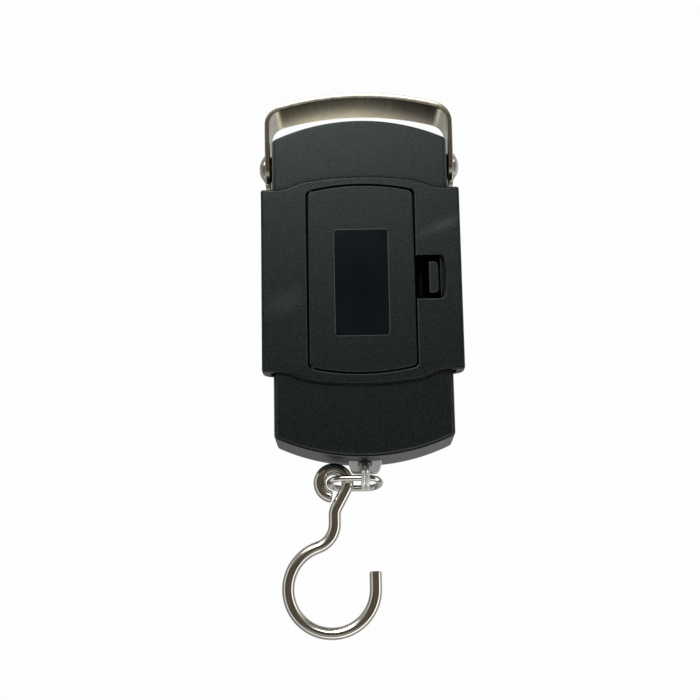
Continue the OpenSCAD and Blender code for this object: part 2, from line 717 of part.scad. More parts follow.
// Square-sectioned conical coil of wire w standing on the X-Y plane
module coil(turns, r0, r1, h, w) {
    n = 16 * turns;
    pts = [for (i = [0:n])
        let (p = coil_at(i / n, turns, r0, r1, h), u = [p[0], p[1], 0] / norm([p[0], p[1]]))
        for (c = [[-1, -1], [1, -1], [1, 1], [-1, 1]]) p + u * c[0] * w / 2 + [0, 0, (c[1] + 1) * w / 2]];
    polyhedron(pts, concat([[0, 1, 2, 3]], [[4 * n + 3, 4 * n + 2, 4 * n + 1, 4 * n]],
        [for (i = [0:n - 1], k = [0:3])
            let (a = 4 * i + k, b = 4 * i + (k + 1) % 4) [a, a + 4, b + 4, b]]));
}

module battery_springs() color([0.8, 0.8, 0.78]) hang() {
    rise = well_hh - contact_t - (aaa_l + nub_l) / 2 + aaa_shift - coil_wire - 0.05;
    translate([-aaa_x, aaa_y, door_z - well_hh + contact_t])
        coil(coil_turns, coil_r0, coil_r1, rise, coil_wire);
    translate([aaa_x, aaa_y, door_z + well_hh - contact_t]) mirror([0, 0, 1])
        coil(coil_turns, coil_r0, coil_r1, rise, coil_wire);
}

// Insulated wire through a list of points, with a ball at each turn
module wire(points, r) {
    for (i = [0:len(points) - 2]) {
        v = points[i + 1] - points[i];
        translate(points[i]) rotate([0, acos(v[2] / norm(v)), atan2(v[1], v[0])])
            cylinder(r = r, h = norm(v));
        if (i > 0) translate(points[i]) sphere(r = r);
    }
}

module sensor_cable() color([0.85, 0.85, 0.8]) hang()
    wire([[cell_hw, cable_y, door_z + cable_dz], [cable_x, cable_y, door_z + cable_dz],
        [cable_x, cable_y, cable_end_z], [cable_x, pcb_y, cable_end_z]], cable_r);

module battery_wires() color([0.7, 0.1, 0.1]) hang() for (s = [-1, 1])
    wire([[s * wire_x, wire_y, door_z + well_hh + well_t], [s * wire_x, wire_y, wire_top_z],
        [s * wire_side_x, wire_y, wire_top_z], [s * wire_side_x, wire_front_y, wire_top_z],
        [s * wire_side_x, wire_front_y, wire_end_z], [s * wire_side_x, pcb_y, wire_end_z]], wire_r);

rear_shell();
front_shell();
battery_door();
door_latch();
label_plate();
handle_strap();
handle_screws();
strap_washers();
yoke();
load_cell();
strain_gauges();
cell_screws();
hook_lug();
connector_ring();
chain_link();
hook();
main_pcb();
controller_chip();
lcd_glass();
lcd_holder();
zebra_strips();
display_window();
front_bezel();
button_left();
button_middle();
button_right();
tact_switches();
pcb_screws();
shell_screws();
battery_1();
battery_2();
battery_contacts();
battery_springs();
sensor_cable();
battery_wires();
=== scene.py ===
import json
import math

import bpy
from mathutils import Matrix, Vector


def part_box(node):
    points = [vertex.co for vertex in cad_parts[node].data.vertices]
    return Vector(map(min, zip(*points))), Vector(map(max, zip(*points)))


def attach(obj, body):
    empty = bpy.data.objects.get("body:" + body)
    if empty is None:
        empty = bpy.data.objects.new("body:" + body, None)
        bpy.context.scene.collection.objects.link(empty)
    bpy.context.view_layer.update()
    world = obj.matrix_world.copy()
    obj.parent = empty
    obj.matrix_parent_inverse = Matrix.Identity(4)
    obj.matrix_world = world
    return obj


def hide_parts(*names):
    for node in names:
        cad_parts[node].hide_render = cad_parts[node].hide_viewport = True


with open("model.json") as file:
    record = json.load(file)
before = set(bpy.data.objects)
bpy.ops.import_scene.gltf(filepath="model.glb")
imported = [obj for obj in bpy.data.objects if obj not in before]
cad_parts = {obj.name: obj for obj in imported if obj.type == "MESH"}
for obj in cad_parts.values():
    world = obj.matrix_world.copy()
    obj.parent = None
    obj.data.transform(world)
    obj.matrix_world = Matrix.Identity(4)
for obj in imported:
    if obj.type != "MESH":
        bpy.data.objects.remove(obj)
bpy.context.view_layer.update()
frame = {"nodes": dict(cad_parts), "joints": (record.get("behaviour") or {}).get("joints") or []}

# Digital luggage scale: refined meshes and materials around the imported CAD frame.
# Shapes are drawn in millimetres about the middle of the housing, rear face towards -Y,
# and written to the meshes in metres in the frame of the CAD model.

MM = 0.001
shell_lo, shell_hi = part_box("rear_shell")
MID_Z = (shell_lo.z + shell_hi.z) / 2
PI = math.pi
EDGE_ANGLE = math.radians(40)
SMOOTH_ANGLE = math.radians(38)


def span(node):
    """Corners of a CAD node's box, in millimetres about the middle of the housing."""
    lo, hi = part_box(node)
    shift = Vector((0, 0, MID_Z))
    return (lo - shift) / MM, (hi - shift) / MM


# ------------------------------ mesh tools

def add_mesh(name, points, faces):
    """Object from points in millimetres about the middle of the housing."""
    mesh = bpy.data.meshes.new(name)
    mesh.from_pydata([(x * MM, y * MM, z * MM + MID_Z) for x, y, z in points], [], faces)
    mesh.validate()
    obj = bpy.data.objects.new(name, mesh)
    bpy.context.scene.collection.objects.link(obj)
    return obj


def loft(name, rings, closed=False, cap=None):
    """Closed solid through rings of equal length; its ends are capped (by the faces in cap, given
    as positions in a ring, where one flat face won't do) unless the path closes."""
    count = len(rings[0])
    points = [p for ring in rings for p in ring]
    faces = []
    for i in range(len(rings) if closed else len(rings) - 1):
        a, b = i * count, (i + 1) % len(rings) * count
        for k in range(count):
            n = (k + 1) % count
            faces.append((a + k, a + n, b + n, b + k))
    if not closed:
        last = (len(rings) - 1) * count
        for face in cap or [tuple(range(count))]:
            faces.append(tuple(face)[::-1])
            faces.append(tuple(last + k for k in face))
    obj = add_mesh(name, points, faces)
    if signed_volume(obj.data) < 0:
        obj.data.flip_normals()
    return obj


def signed_volume(mesh):
    """Six times the enclosed volume, negative where the faces look inwards."""
    mesh.calc_loop_triangles()
    total = 0.0
    for tri in mesh.loop_triangles:
        a, b, c = (mesh.vertices[i].co for i in tri.vertices)
        total += a.dot(b.cross(c))
    return total


def bake(obj):
    """Replaces the object's mesh by the result of its modifiers."""
    graph = bpy.context.evaluated_depsgraph_get()
    mesh = bpy.data.meshes.new_from_object(obj.evaluated_get(graph))
    obj.modifiers.clear()
    old = obj.data
    obj.data = mesh
    bpy.data.meshes.remove(old)
    return obj


def solid(obj, tool, operation):
    """Boolean of obj with tool, which is used up."""
    mod = obj.modifiers.new("solid", "BOOLEAN")
    mod.operation = operation
    mod.solver = "EXACT"
    mod.object = tool
    bake(obj)
    bpy.data.objects.remove(tool)
    return obj


def cut(obj, *tools):
    for tool in tools:
        solid(obj, tool, "DIFFERENCE")
    return obj


def fuse(obj, *tools):
    for tool in tools:
        solid(obj, tool, "UNION")
    return obj


def bevel(obj, width, segments):
    """Modifier that rounds the sharp edges."""
    mod = obj.modifiers.new("edges", "BEVEL")
    mod.width = width * MM
    mod.segments = segments
    mod.limit_method = "ANGLE"
    mod.angle_limit = EDGE_ANGLE
    return mod


def arc(cx, cz, r, start, end, steps):
    """Points of an arc, angles in radians."""
    angles = [start + (end - start) * i / steps for i in range(steps + 1)]
    return [(cx + r * math.cos(a), cz + r * math.sin(a)) for a in angles]


def arched(w, peak, big_r, r, mid=0.0):
    """Outline of half width w and half height peak, with straight sides, ends that are arcs of
    radius big_r, and corners of radius r."""
    cx = w - r
    drop = math.sqrt((big_r - r) ** 2 - cx * cx)
    turn = math.atan2(drop, cx)
    end = arc(cx, peak - big_r + drop, r, 0, turn, 8)
    end += arc(0, peak - big_r, big_r, turn, PI - turn, 36)[1:-1]
    end += arc(-cx, peak - big_r + drop, r, PI - turn, PI, 8)
    return [(x, z + mid) for x, z in end] + [(-x, mid - z) for x, z in end]


def stadium(w, h, cx=0.0, cz=0.0, steps=12):
    """Stadium outline lying along X."""
    r = h / 2
    side = w / 2 - r
    right = arc(cx + side, cz, r, -PI / 2, PI / 2, steps)
    return right + arc(cx - side, cz, r, PI / 2, 3 * PI / 2, steps)


def rounded_box(x0, x1, z0, z1, r):
    corners = [(x1 - r, z1 - r, 0), (x0 + r, z1 - r, PI / 2), (x0 + r, z0 + r, PI),
               (x1 - r, z0 + r, 3 * PI / 2)]
    return [p for cx, cz, a in corners for p in arc(cx, cz, r, a, a + PI / 2, 5)]


def around(lo, hi, grow, r):
    """Rounded outline of a box as seen along Y, grown on every side."""
    return rounded_box(lo.x - grow, hi.x + grow, lo.z - grow, hi.z + grow, r)


def edge_levels(y0, y1, r0, r1, steps=4):
    """(inset, y) pairs of a slab from y0 to y1 with edges rounded by r0 and r1."""
    turn = [PI / 2 * i / steps for i in range(steps + 1)]
    first = [(r0 * (1 - math.sin(a)), y0 + r0 * (1 - math.cos(a))) for a in turn]
    last = [(r1 * (1 - math.cos(a)), y1 - r1 * (1 - math.sin(a))) for a in turn]
    return (first if r0 else [(0, y0)]) + (last if r1 else [(0, y1)])


def slab(name, outline, levels):
    """Solid from an outline function of the inset, drawn at (inset, y) levels."""
    return loft(name, [[(x, y, z) for x, z in outline(inset)] for inset, y in levels])


def prism(outline, y0, y1, name="cutter"):
    """Straight solid from an outline, between two levels of Y."""
    return loft(name, [[(x, y, z) for x, z in outline] for y in (y0, y1)])


def flared(outline, y_face, y_end, lip):
    """Cutter from y_end up to y_face, whose mouth opens along a round lip of radius lip."""
    toward = math.copysign(1, y_face - y_end)
    turn = [PI / 2 * i / 4 for i in range(5)]
    levels = [(0, y_end)]
    levels += [(-lip * (1 - math.cos(a)), y_face - toward * lip * (1 - math.sin(a))) for a in turn]
    levels.append((-lip, y_face + toward * 2))
    return slab("cutter", outline, levels)


def lathe(name, profile, origin, axis, steps=48):
    """Solid of revolution about axis through origin; profile holds (radius, distance) pairs."""
    axis = Vector(axis).normalized()
    side = axis.orthogonal().normalized()
    other = axis.cross(side)
    rings = []
    for r, d in profile:
        rings.append([tuple(Vector(origin) + axis * d + (side * math.cos(2 * PI * k / steps)
                     + other * math.sin(2 * PI * k / steps)) * max(r, 1e-3)) for k in range(steps)])
    return loft(name, rings)


def rod(origin, axis, r, length, steps=32):
    return lathe("cutter", [(r, 0), (r, length)], origin, axis, steps)


def tube(name, path, radius, binormal, closed=False, steps=28, ends=0.0):
    """Round wire along a path of points that lies near the plane whose normal is binormal. The
    rims of its open ends are broken by the given amount."""
    path = [Vector(p) for p in path]
    flat = Vector(binormal).normalized()
    turns = [2 * PI * k / steps for k in range(steps)]
    rings = []

    def add_ring(centre, tangent, r):
        n = flat.cross(tangent).normalized()
        up = tangent.cross(n)
        rings.append([tuple(centre + (n * math.cos(a) + up * math.sin(a)) * r) for a in turns])

    for i, p in enumerate(path):
        first = i == 0 and not closed
        last = i == len(path) - 1 and not closed
        ahead = p if last else path[(i + 1) % len(path)]
        behind = p if first else path[i - 1]
        tangent = (ahead - behind).normalized()
        if first and ends:
            add_ring(p, tangent, radius - ends)
        inward = ends if first else -ends if last else 0
        add_ring(p + tangent * inward, tangent, radius)
        if last and ends:
            add_ring(p, tangent, radius - ends)
    return loft(name, rings, closed)


def finish_piece(obj, name, material, body, slot, *replaced):
    """Names a finished mesh, shades it, and ties it to its CAD body and the nodes it replaces."""
    obj.name = name
    obj.data.name = name
    obj.data.materials.clear()
    obj.data.materials.append(material)
    obj.data.polygons.foreach_set("use_smooth", [True] * len(obj.data.polygons))
    obj.data.polygons.foreach_set("material_index", [0] * len(obj.data.polygons))
    obj.data.set_sharp_from_angle(angle=SMOOTH_ANGLE)
    weighted = obj.modifiers.new("normals", "WEIGHTED_NORMAL")
    weighted.keep_sharp = True
    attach(obj, body)
    if replaced:
        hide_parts(*replaced)


# ------------------------------ node trees

class Nodes:
    """Small helper for building a node tree."""

    def __init__(self, tree):
        self.tree = tree

    def node(self, kind, **inputs):
        made = self.tree.nodes.new(kind)
        for key, value in inputs.items():
            self.feed(made.inputs[key.replace("_", " ")], value)
        return made

    def feed(self, socket, value):
        if isinstance(value, bpy.types.NodeSocket):
            self.tree.links.new(value, socket)
        else:
            socket.default_value = value

    def operate(self, kind, operation, a, b):
        made = self.node(kind)
        made.operation = operation
        self.feed(made.inputs[0], a)
        self.feed(made.inputs[1], b)
        return made.outputs

    def math(self, operation, a, b):
        return self.operate("ShaderNodeMath", operation, a, b)[0]

    def axes(self, vector):
        made = self.node("ShaderNodeSeparateXYZ", Vector=vector)
        return made.outputs["X"], made.outputs["Y"], made.outputs["Z"]

    def remap(self, value, low, high, out_low, out_high, smooth=False):
        made = self.node("ShaderNodeMapRange", Value=value)
        ends = (("From Min", low), ("From Max", high), ("To Min", out_low), ("To Max", out_high))
        for key, number in ends:
            made.inputs[key].default_value = number
        if smooth:
            made.interpolation_type = "SMOOTHSTEP"
        return made.outputs["Result"]

    def mix(self, factor, a, b):
        made = self.node("ShaderNodeMix")
        made.data_type = "RGBA"
        self.feed(made.inputs["Factor"], factor)
        self.feed(made.inputs[6], a)
        self.feed(made.inputs[7], b)
        return made.outputs[2]

    def ramp(self, value, stops):
        """Colour ramp through (position, colour) stops."""
        made = self.node("ShaderNodeValToRGB", Fac=value)
        elements = made.color_ramp.elements
        while len(elements) < len(stops):
            elements.new(0.5)
        for element, (position, colour) in zip(elements, stops):
            element.position, element.color = position, (*colour, 1)
        return made.outputs["Color"]


class Shader(Nodes):
    """Helper for a new material."""

    def __init__(self, name):
        self.mat = bpy.data.materials.new(name)
        self.mat.use_nodes = True
        super().__init__(self.mat.node_tree)
        self.surface = self.tree.nodes["Principled BSDF"]
        self.coords = self.node("ShaderNodeTexCoord").outputs["Object"]

    def set(self, **inputs):
        for key, value in inputs.items():
            self.feed(self.surface.inputs[key.replace("_", " ")], value)
        return self.mat

    def stretched(self, scale):
        made = self.node("ShaderNodeMapping", Vector=self.coords)
        made.inputs["Scale"].default_value = scale
        return made.outputs["Vector"]

    def noise(self, size_mm, detail=2.0, vector=None):
        """Noise whose features are about size_mm across."""
        made = self.node("ShaderNodeTexNoise", Vector=vector or self.coords, Scale=1 / (size_mm * MM),
                         Detail=detail)
        return made.outputs["Fac"]

    def edge_turn(self, radius_mm):
        """One on flat faces, less where the surface turns within the radius."""
        edge = self.node("ShaderNodeBevel", Radius=radius_mm * MM)
        edge.samples = 4
        plain = self.node("ShaderNodeNewGeometry").outputs["Normal"]
        return self.operate("ShaderNodeVectorMath", "DOT_PRODUCT", edge.outputs["Normal"], plain)["Value"]

    def sheen_streak(self, x0, z0, x1, z1, half_width, strength):
        """Painted sheen streak: a soft straight band of paler colour on the rear face, between two points,
        standing in for a reflection.
        """
        x, _, z = self.axes(self.coords)
        slope = (z1 - z0) / (x1 - x0)
        line = self.math("SUBTRACT", z, self.math("MULTIPLY", x, slope))
        off = self.math("ABSOLUTE", self.math("SUBTRACT", line, MID_Z + (z0 - slope * x0) * MM), 0)
        across = self.remap(off, 0, half_width * MM, strength, 0, smooth=True)
        along = self.remap(x, x0 * MM, (x0 + x1) / 2 * MM, 0, 1)
        end = self.remap(x, x1 * MM, (x0 + 3 * x1) / 4 * MM, 0, 1)
        return self.math("MULTIPLY", across, self.math("MULTIPLY", along, end))

    def bump(self, height, depth_mm, strength=1.0):
        made = self.node("ShaderNodeBump", Height=height, Strength=strength, Distance=depth_mm * MM)
        return made.outputs["Normal"]


def rgba(color, scale=1.0, lift=0.0):
    return tuple(min(1, c * scale + lift) for c in color) + (1,)


# ------------------------------ materials

GRAIN_MM = 0.42
# Reach of the painted highlight along rounded edges, and of the painted shade in hollows
EDGE_HIGHLIGHT_MM = 0.45
SHADE_REACH_MM = 7
COOL = (0.86, 1.0, 0.97, 1)
BLACK = (0, 0, 0, 1)


def eroded_plastic(name, color, rough=0.4, spec=0.5, speck=0.5, depth_mm=0.03, sheen_streaks=()):
    """Spark-eroded moulded plastic: pits, pale specks, slow changes of tone, painted highlights along
    rounded edges, painted sheen streaks, and painted shade in its grooves. Each sheen streak holds the
    numbers that Shader.sheen_streak takes."""
    s = Shader(name)
    grain = s.noise(GRAIN_MM, 3.0)
    fine = s.noise(GRAIN_MM * 0.55, 1.0)
    broad = s.noise(24, 3.0)
    base = s.mix(s.remap(broad, 0.35, 0.65, 0, 1), rgba(color, 0.85), rgba(color))
    base = s.mix(s.remap(fine, 0.6, 0.7, 0, speck), base, rgba(color, 2.2, 0.09))
    # Painted highlight: rounded edges are mixed towards a pale colour, where they would catch the light
    painted_highlight = s.remap(s.edge_turn(EDGE_HIGHLIGHT_MM), 0.995, 0.88, 0, 0.8)
    # Painted sheen streaks join the painted highlight mask
    for sheen_streak in sheen_streaks:
        painted_highlight = s.math("MAXIMUM", painted_highlight, s.sheen_streak(*sheen_streak))
    base = s.mix(painted_highlight, base, rgba(color, 2.2, 0.24))
    # Painted shade: in grooves, recesses and gaps between parts the colour goes towards black and the
    # specular is cut back
    shade_occlusion = s.node("ShaderNodeAmbientOcclusion", Distance=SHADE_REACH_MM * MM)
    shade_occlusion.samples = 6
    shade = s.remap(shade_occlusion.outputs["AO"], 0.4, 0.85, 0.02, 1)
    base = s.mix(shade, BLACK, base)
    roughness = s.remap(grain, 0.3, 0.7, rough - 0.04, rough + 0.04)
    height = s.math("ADD", grain, s.math("MULTIPLY", fine, 0.5))
    return s.set(Base_Color=base, Roughness=roughness, Normal=s.bump(height, depth_mm, 0.8),
                 Specular_IOR_Level=s.math("MULTIPLY", shade, spec), Specular_Tint=COOL)


def metal(name, color, rough, brushed=None, smudge=0.06, depth_mm=0.004, metallic=1.0):
    """Bare or plated metal: smudges, fine scratches and, where brushed, a directional grain."""
    s = Shader(name)
    broad = s.noise(7, 4.0)
    lines = s.noise(1.0, 4.0, s.stretched(brushed)) if brushed else s.noise(0.35, 3.0)
    base = s.mix(s.remap(broad, 0.35, 0.7, 0, 1), rgba(color), rgba(color, 0.86))
    roughness = s.math("ADD", s.remap(broad, 0.3, 0.7, rough, rough + smudge),
                       s.remap(lines, 0.3, 0.7, 0, smudge))
    return s.set(Base_Color=base, Metallic=metallic, Roughness=roughness,
                 Normal=s.bump(lines, depth_mm, 0.6))


def gloss(name, color, rough=0.12, transmission=0.0, coat=0.0, spec=0.5):
    """Smooth moulded, lacquered or clear plastic with faint dust and flow ripple."""
    s = Shader(name)
    dust = s.remap(s.noise(0.5, 4.0), 0.66, 0.78, 0, 0.25)
    base = s.mix(dust, rgba(color), rgba(color, 1, 0.06))
    sheen = s.remap(s.noise(9, 3.0), 0.3, 0.7, rough, rough + 0.06)
    return s.set(Base_Color=base, Roughness=s.math("ADD", sheen, s.math("MULTIPLY", dust, 0.3)),
                 Normal=s.bump(s.noise(6, 2.0), 0.003, 0.5), Transmission_Weight=transmission,
                 Coat_Weight=coat, Specular_IOR_Level=spec)


def circuit_board(name):
    """Green solder mask with tracks that run in small steps."""
    s = Shader(name)
    tracks = s.node("ShaderNodeTexBrick", Vector=s.coords, Scale=320, Color1=(0.01, 0.16, 0.06, 1),
                    Color2=(0.02, 0.22, 0.09, 1), Mortar=(0.04, 0.3, 0.13, 1))
    return s.set(Base_Color=tracks.outputs["Color"], Roughness=0.3,
                 Normal=s.bump(tracks.outputs["Fac"], 0.03, 0.5))


def banded(name, dark, pale, period_mm):
    """Fine layers, as in a layered rubber contact strip."""
    s = Shader(name)
    wave = s.node("ShaderNodeTexWave", Vector=s.coords, Scale=1 / (period_mm * MM) / 6, Distortion=0.2)
    return s.set(Base_Color=s.mix(wave.outputs["Fac"], rgba(dark), rgba(pale)), Roughness=0.5)


def battery_jacket(name, node, band):
    """Blank cell sleeve: dark, and copper-coloured beyond the given share of its height, which is
    its upper end for shares above a half and its lower end below that."""
    s = Shader(name)
    lo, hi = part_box(node)
    up = 1 if band > 0.5 else -1
    edge = lo.z + band * (hi.z - lo.z)
    copper = s.remap(s.axes(s.coords)[2], edge, edge + up * 0.1 * MM, 0, 1)
    scuff = s.remap(s.noise(1.2, 4.0), 0.62, 0.75, 0, 0.3)
    base = s.mix(copper, (0.015, 0.017, 0.022, 1), (0.5, 0.21, 0.07, 1))
    base = s.mix(scuff, base, (0.3, 0.3, 0.3, 1))
    return s.set(Base_Color=base, Roughness=s.remap(s.noise(4, 3.0), 0.3, 0.7, 0.22, 0.34), Metallic=0.3)


# Painted sheen streaks on the sleeve, standing in for reflections: x and z of both ends, half width,
# strength
SHEEN_STREAKS = [(16, 14.5, 33.5, 21.5, 3.0, 0.11), (-34, -9, -17, -3, 6, 0.06)]

housing_mat = eroded_plastic("housing_plastic", (0.0025, 0.0052, 0.005), rough=0.28, spec=0.34,
                             speck=0.35, depth_mm=0.018, sheen_streaks=SHEEN_STREAKS)
# Front shell: its base colour is painted lighter than the rear shell's, as painted light for the pale floor
# it faces
lit_shell_mat = eroded_plastic("shell_plastic", (0.018, 0.021, 0.021), rough=0.34, spec=0.6, speck=0.2,
                           depth_mm=0.02)
latch_mat = eroded_plastic("latch_plastic", (0.004, 0.0065, 0.0068), rough=0.34, spec=0.3, speck=0.1,
                           depth_mm=0.01)
label_mat = gloss("label_film", (0.0014, 0.0034, 0.0058), rough=0.18, spec=0.17)
bezel_mat = gloss("bezel_gloss", (0.01, 0.01, 0.012), rough=0.06, coat=0.5)
window_mat = gloss("window_acrylic", (0.9, 0.93, 0.92), rough=0.02, transmission=1.0)
lcd_mat = gloss("lcd_film", (0.3, 0.34, 0.27), rough=0.25)
digit_mat = gloss("lcd_digits", (0.02, 0.022, 0.025), rough=0.3)
button_mat = eroded_plastic("button_plastic", (0.3, 0.31, 0.32), rough=0.3, speck=0.1, depth_mm=0.006)
white_mat = eroded_plastic("white_plastic", (0.75, 0.75, 0.72), speck=0.05, depth_mm=0.008)
nylon_mat = eroded_plastic("nylon", (0.6, 0.6, 0.56), speck=0.1, depth_mm=0.006)
black_mat = eroded_plastic("moulded_black", (0.018, 0.018, 0.018), rough=0.45, speck=0.1, depth_mm=0.008)
strap_mat = metal("strap_steel", (0.74, 0.7, 0.6), 0.1, brushed=(1, 0.04, 1), smudge=0.03,
                  depth_mm=0.0015)
hook_mat = metal("hook_nickel", (0.88, 0.86, 0.82), 0.06, smudge=0.03, depth_mm=0.002)
ring_mat = metal("ring_nickel", (0.94, 0.94, 0.93), 0.2, smudge=0.04, depth_mm=0.002, metallic=0.6)
lug_mat = metal("lug_steel", (0.86, 0.87, 0.88), 0.34, metallic=0.2)
screw_mat = metal("screw_nickel", (0.8, 0.8, 0.78), 0.1)
zinc_mat = metal("cast_zinc", (0.55, 0.56, 0.58), 0.38, smudge=0.1, depth_mm=0.03)
cell_mat = metal("milled_aluminium", (0.78, 0.79, 0.8), 0.28, brushed=(1, 1, 0.05))
contact_mat = metal("contact_nickel", (0.78, 0.76, 0.7), 0.16)
gauge_mat = gloss("gauge_foil", (0.6, 0.3, 0.06), rough=0.2)
red_mat = gloss("red_insulation", (0.45, 0.02, 0.015), rough=0.35)
grey_mat = gloss("grey_insulation", (0.4, 0.4, 0.39), rough=0.4)
board_mat = circuit_board("solder_mask")
strip_mat = banded("contact_rubber", (0.12, 0.05, 0.06), (0.6, 0.35, 0.4), 0.2)
jacket_mats = {"battery_1": battery_jacket("battery_jacket_1", "battery_1", 0.72),
               "battery_2": battery_jacket("battery_jacket_2", "battery_2", 0.28)}


# ------------------------------ sizes from the frame

plate_lo, plate_hi = span("rear_shell")
front_lo, front_hi = span("front_shell")
door_lo, door_hi = span("battery_door")
label_lo, label_hi = span("label_plate")
latch_lo, latch_hi = span("door_latch")
lcd_lo, lcd_hi = span("lcd_glass")
pane_lo, pane_hi = span("display_window")
strap_lo, strap_hi = span("handle_strap")
screw_lo, screw_hi = span("handle_screws")
lug_lo, lug_hi = span("hook_lug")
ring_lo, ring_hi = span("connector_ring")
link_lo, link_hi = span("chain_link")
hook_lo, hook_hi = span("hook")
button_boxes = {name: span(name) for name in ("button_left", "button_middle", "button_right")}
BUTTON_XS = [(lo.x + hi.x) / 2 for lo, hi in button_boxes.values()]
BUTTON_Z = (button_boxes["button_middle"][0].z + button_boxes["button_middle"][1].z) / 2
PIVOT_Z = (screw_lo.z + screw_hi.z) / 2

# Levels along Y, from the rear face forwards
sleeve_y = plate_lo.y
plate_y = sleeve_y + 1.6
groove_y = plate_y + 0.75
rim_y = front_lo.y
DECK_Y, LAP_Y, WING_Y = -10, -8.6, -8.3
POCKET_STEP_Y, POCKET_FLOOR, WELL_FLOOR = -11, -3.6, 0.6
BOSS_Y, BOSS_BORE_Y, FRONT_Y, PAD_Y, BEZEL_Y = -6.9, 4, 12, 13.4, 14.4

# Outlines of the mouldings: half widths, half heights at the middle, radii
WALL, END_R, WING_R = 1.6, 65.6, 5.3
sleeve_hw, shell_hw = plate_hi.x, front_hi.x
plate_hw, plate_pk = sleeve_hw - 4.35, plate_hi.z
shell_pk = front_hi.z
lap_hw, lap_pk, LAP_T = shell_hw - WALL - 0.35, shell_pk - WALL - 0.35, 1.2
SHOULDER_TOP, SHOULDER_BOT = 31.6, -28.5
ARCH_TOP, ARCH_BOT, ARCH_R = 35.6, -32.55, 110
BLEND_IN, BLEND_OUT = 18, 27
PAD_HW, PAD_PK = 24.5, 38

# Battery door, its well and the latch's pocket
door_z, door_hw, door_pk = (door_lo.z + door_hi.z) / 2, door_hi.x, (door_hi.z - door_lo.z) / 2
DOOR_R, DOOR_T, DOOR_CORNER, DOOR_GAP = 71.6, 1.8, 2, 0.5
door_back = sleeve_y + DOOR_T
ledge_y = door_back + 0.2
WELL_HW, WELL_HH, WELL_T = 11.2, 25, 1
POCKET_X0, POCKET_STEP_X, POCKET_X1, POCKET_HH = 14.4, 25.3, 26.9, 7.15

# Bosses of the four screws that hold the shells together, and the other openings of the shells
BOSSES = [(x, z) for x in (-15, 15) for z in (door_z - 22, door_z + 22)]
BOSS_R, BOSS_BORE_R, SCREW_HEAD_R, SCREW_WELL_L = 2.5, 1.0, 1.9, 10.1
PIVOT_HOLE_R, LUG_SLOT_HW, LUG_SLOT_HD = 2.7, 5.6, 1.5


# ------------------------------ rear shell

def sleeve_edge(x, shoulder, peak, big_r):
    """Height of the sleeve's edge at x: an arch in the middle that runs into level shoulders."""
    t = min(1, max(0, (BLEND_OUT - abs(x)) / (BLEND_OUT - BLEND_IN)))
    return shoulder + (peak - x * x / (2 * big_r) - shoulder) * t * t * (3 - 2 * t)


def sleeve_outline():
    steps = 80
    xs = [sleeve_hw * (1 - 2 * i / steps) for i in range(steps + 1)]
    top = [(x, sleeve_edge(x, SHOULDER_TOP, ARCH_TOP, ARCH_R)) for x in xs]
    return top + [(-x, sleeve_edge(-x, SHOULDER_BOT, ARCH_BOT, -ARCH_R)) for x in xs]


def wing_section():
    """Cross-section of the sleeve: flat rear face and two wings that curl in beside the front shell."""
    cx = sleeve_hw - WING_R
    inner = shell_hw + 0.15
    reach = math.acos((inner - cx) / WING_R)
    right = [(sleeve_hw, sleeve_y)] + arc(cx, WING_Y, WING_R, 0, reach, 12) + [(inner, rim_y - 0.1)]
    return right + [(-x, y) for x, y in reversed(right)]


def door_outline(inset, grow=0.0):
    """Outline of the door or, grown by the gap round it, of its opening."""
    size = grow - inset
    return arched(door_hw + size, door_pk + size, DOOR_R + size, DOOR_CORNER - inset, mid=door_z)


def pocket_mouth(inset):
    """Mouth of the latch pocket: open towards the door, slightly bulged on its far side."""
    r, bulge = 1.6 - inset, 0.55
    x0, x1 = door_hw - 1.5 + inset, POCKET_X1 - inset
    hh = POCKET_HH - inset
    bottom = arc(x1 - bulge - r, door_z - hh + r, r, -PI / 2, 0, 6)[:-1]
    side = [(x1 - bulge * (2 * t - 1) ** 2, door_z + (hh - r) * (2 * t - 1)) for t in
            [i / 10 for i in range(11)]]
    top = arc(x1 - bulge - r, door_z + hh - r, r, 0, PI / 2, 6)[1:]
    return bottom + side + top + [(x0, door_z + hh), (x0, door_z - hh)]


def around_well(grow, r):
    return rounded_box(-WELL_HW - grow, WELL_HW + grow, door_z - WELL_HH - grow, door_z + WELL_HH + grow, r)


def around_pocket(grow, r):
    return rounded_box(POCKET_X0 - grow, POCKET_STEP_X + grow, door_z - POCKET_HH - grow,
                       door_z + POCKET_HH + grow, r)


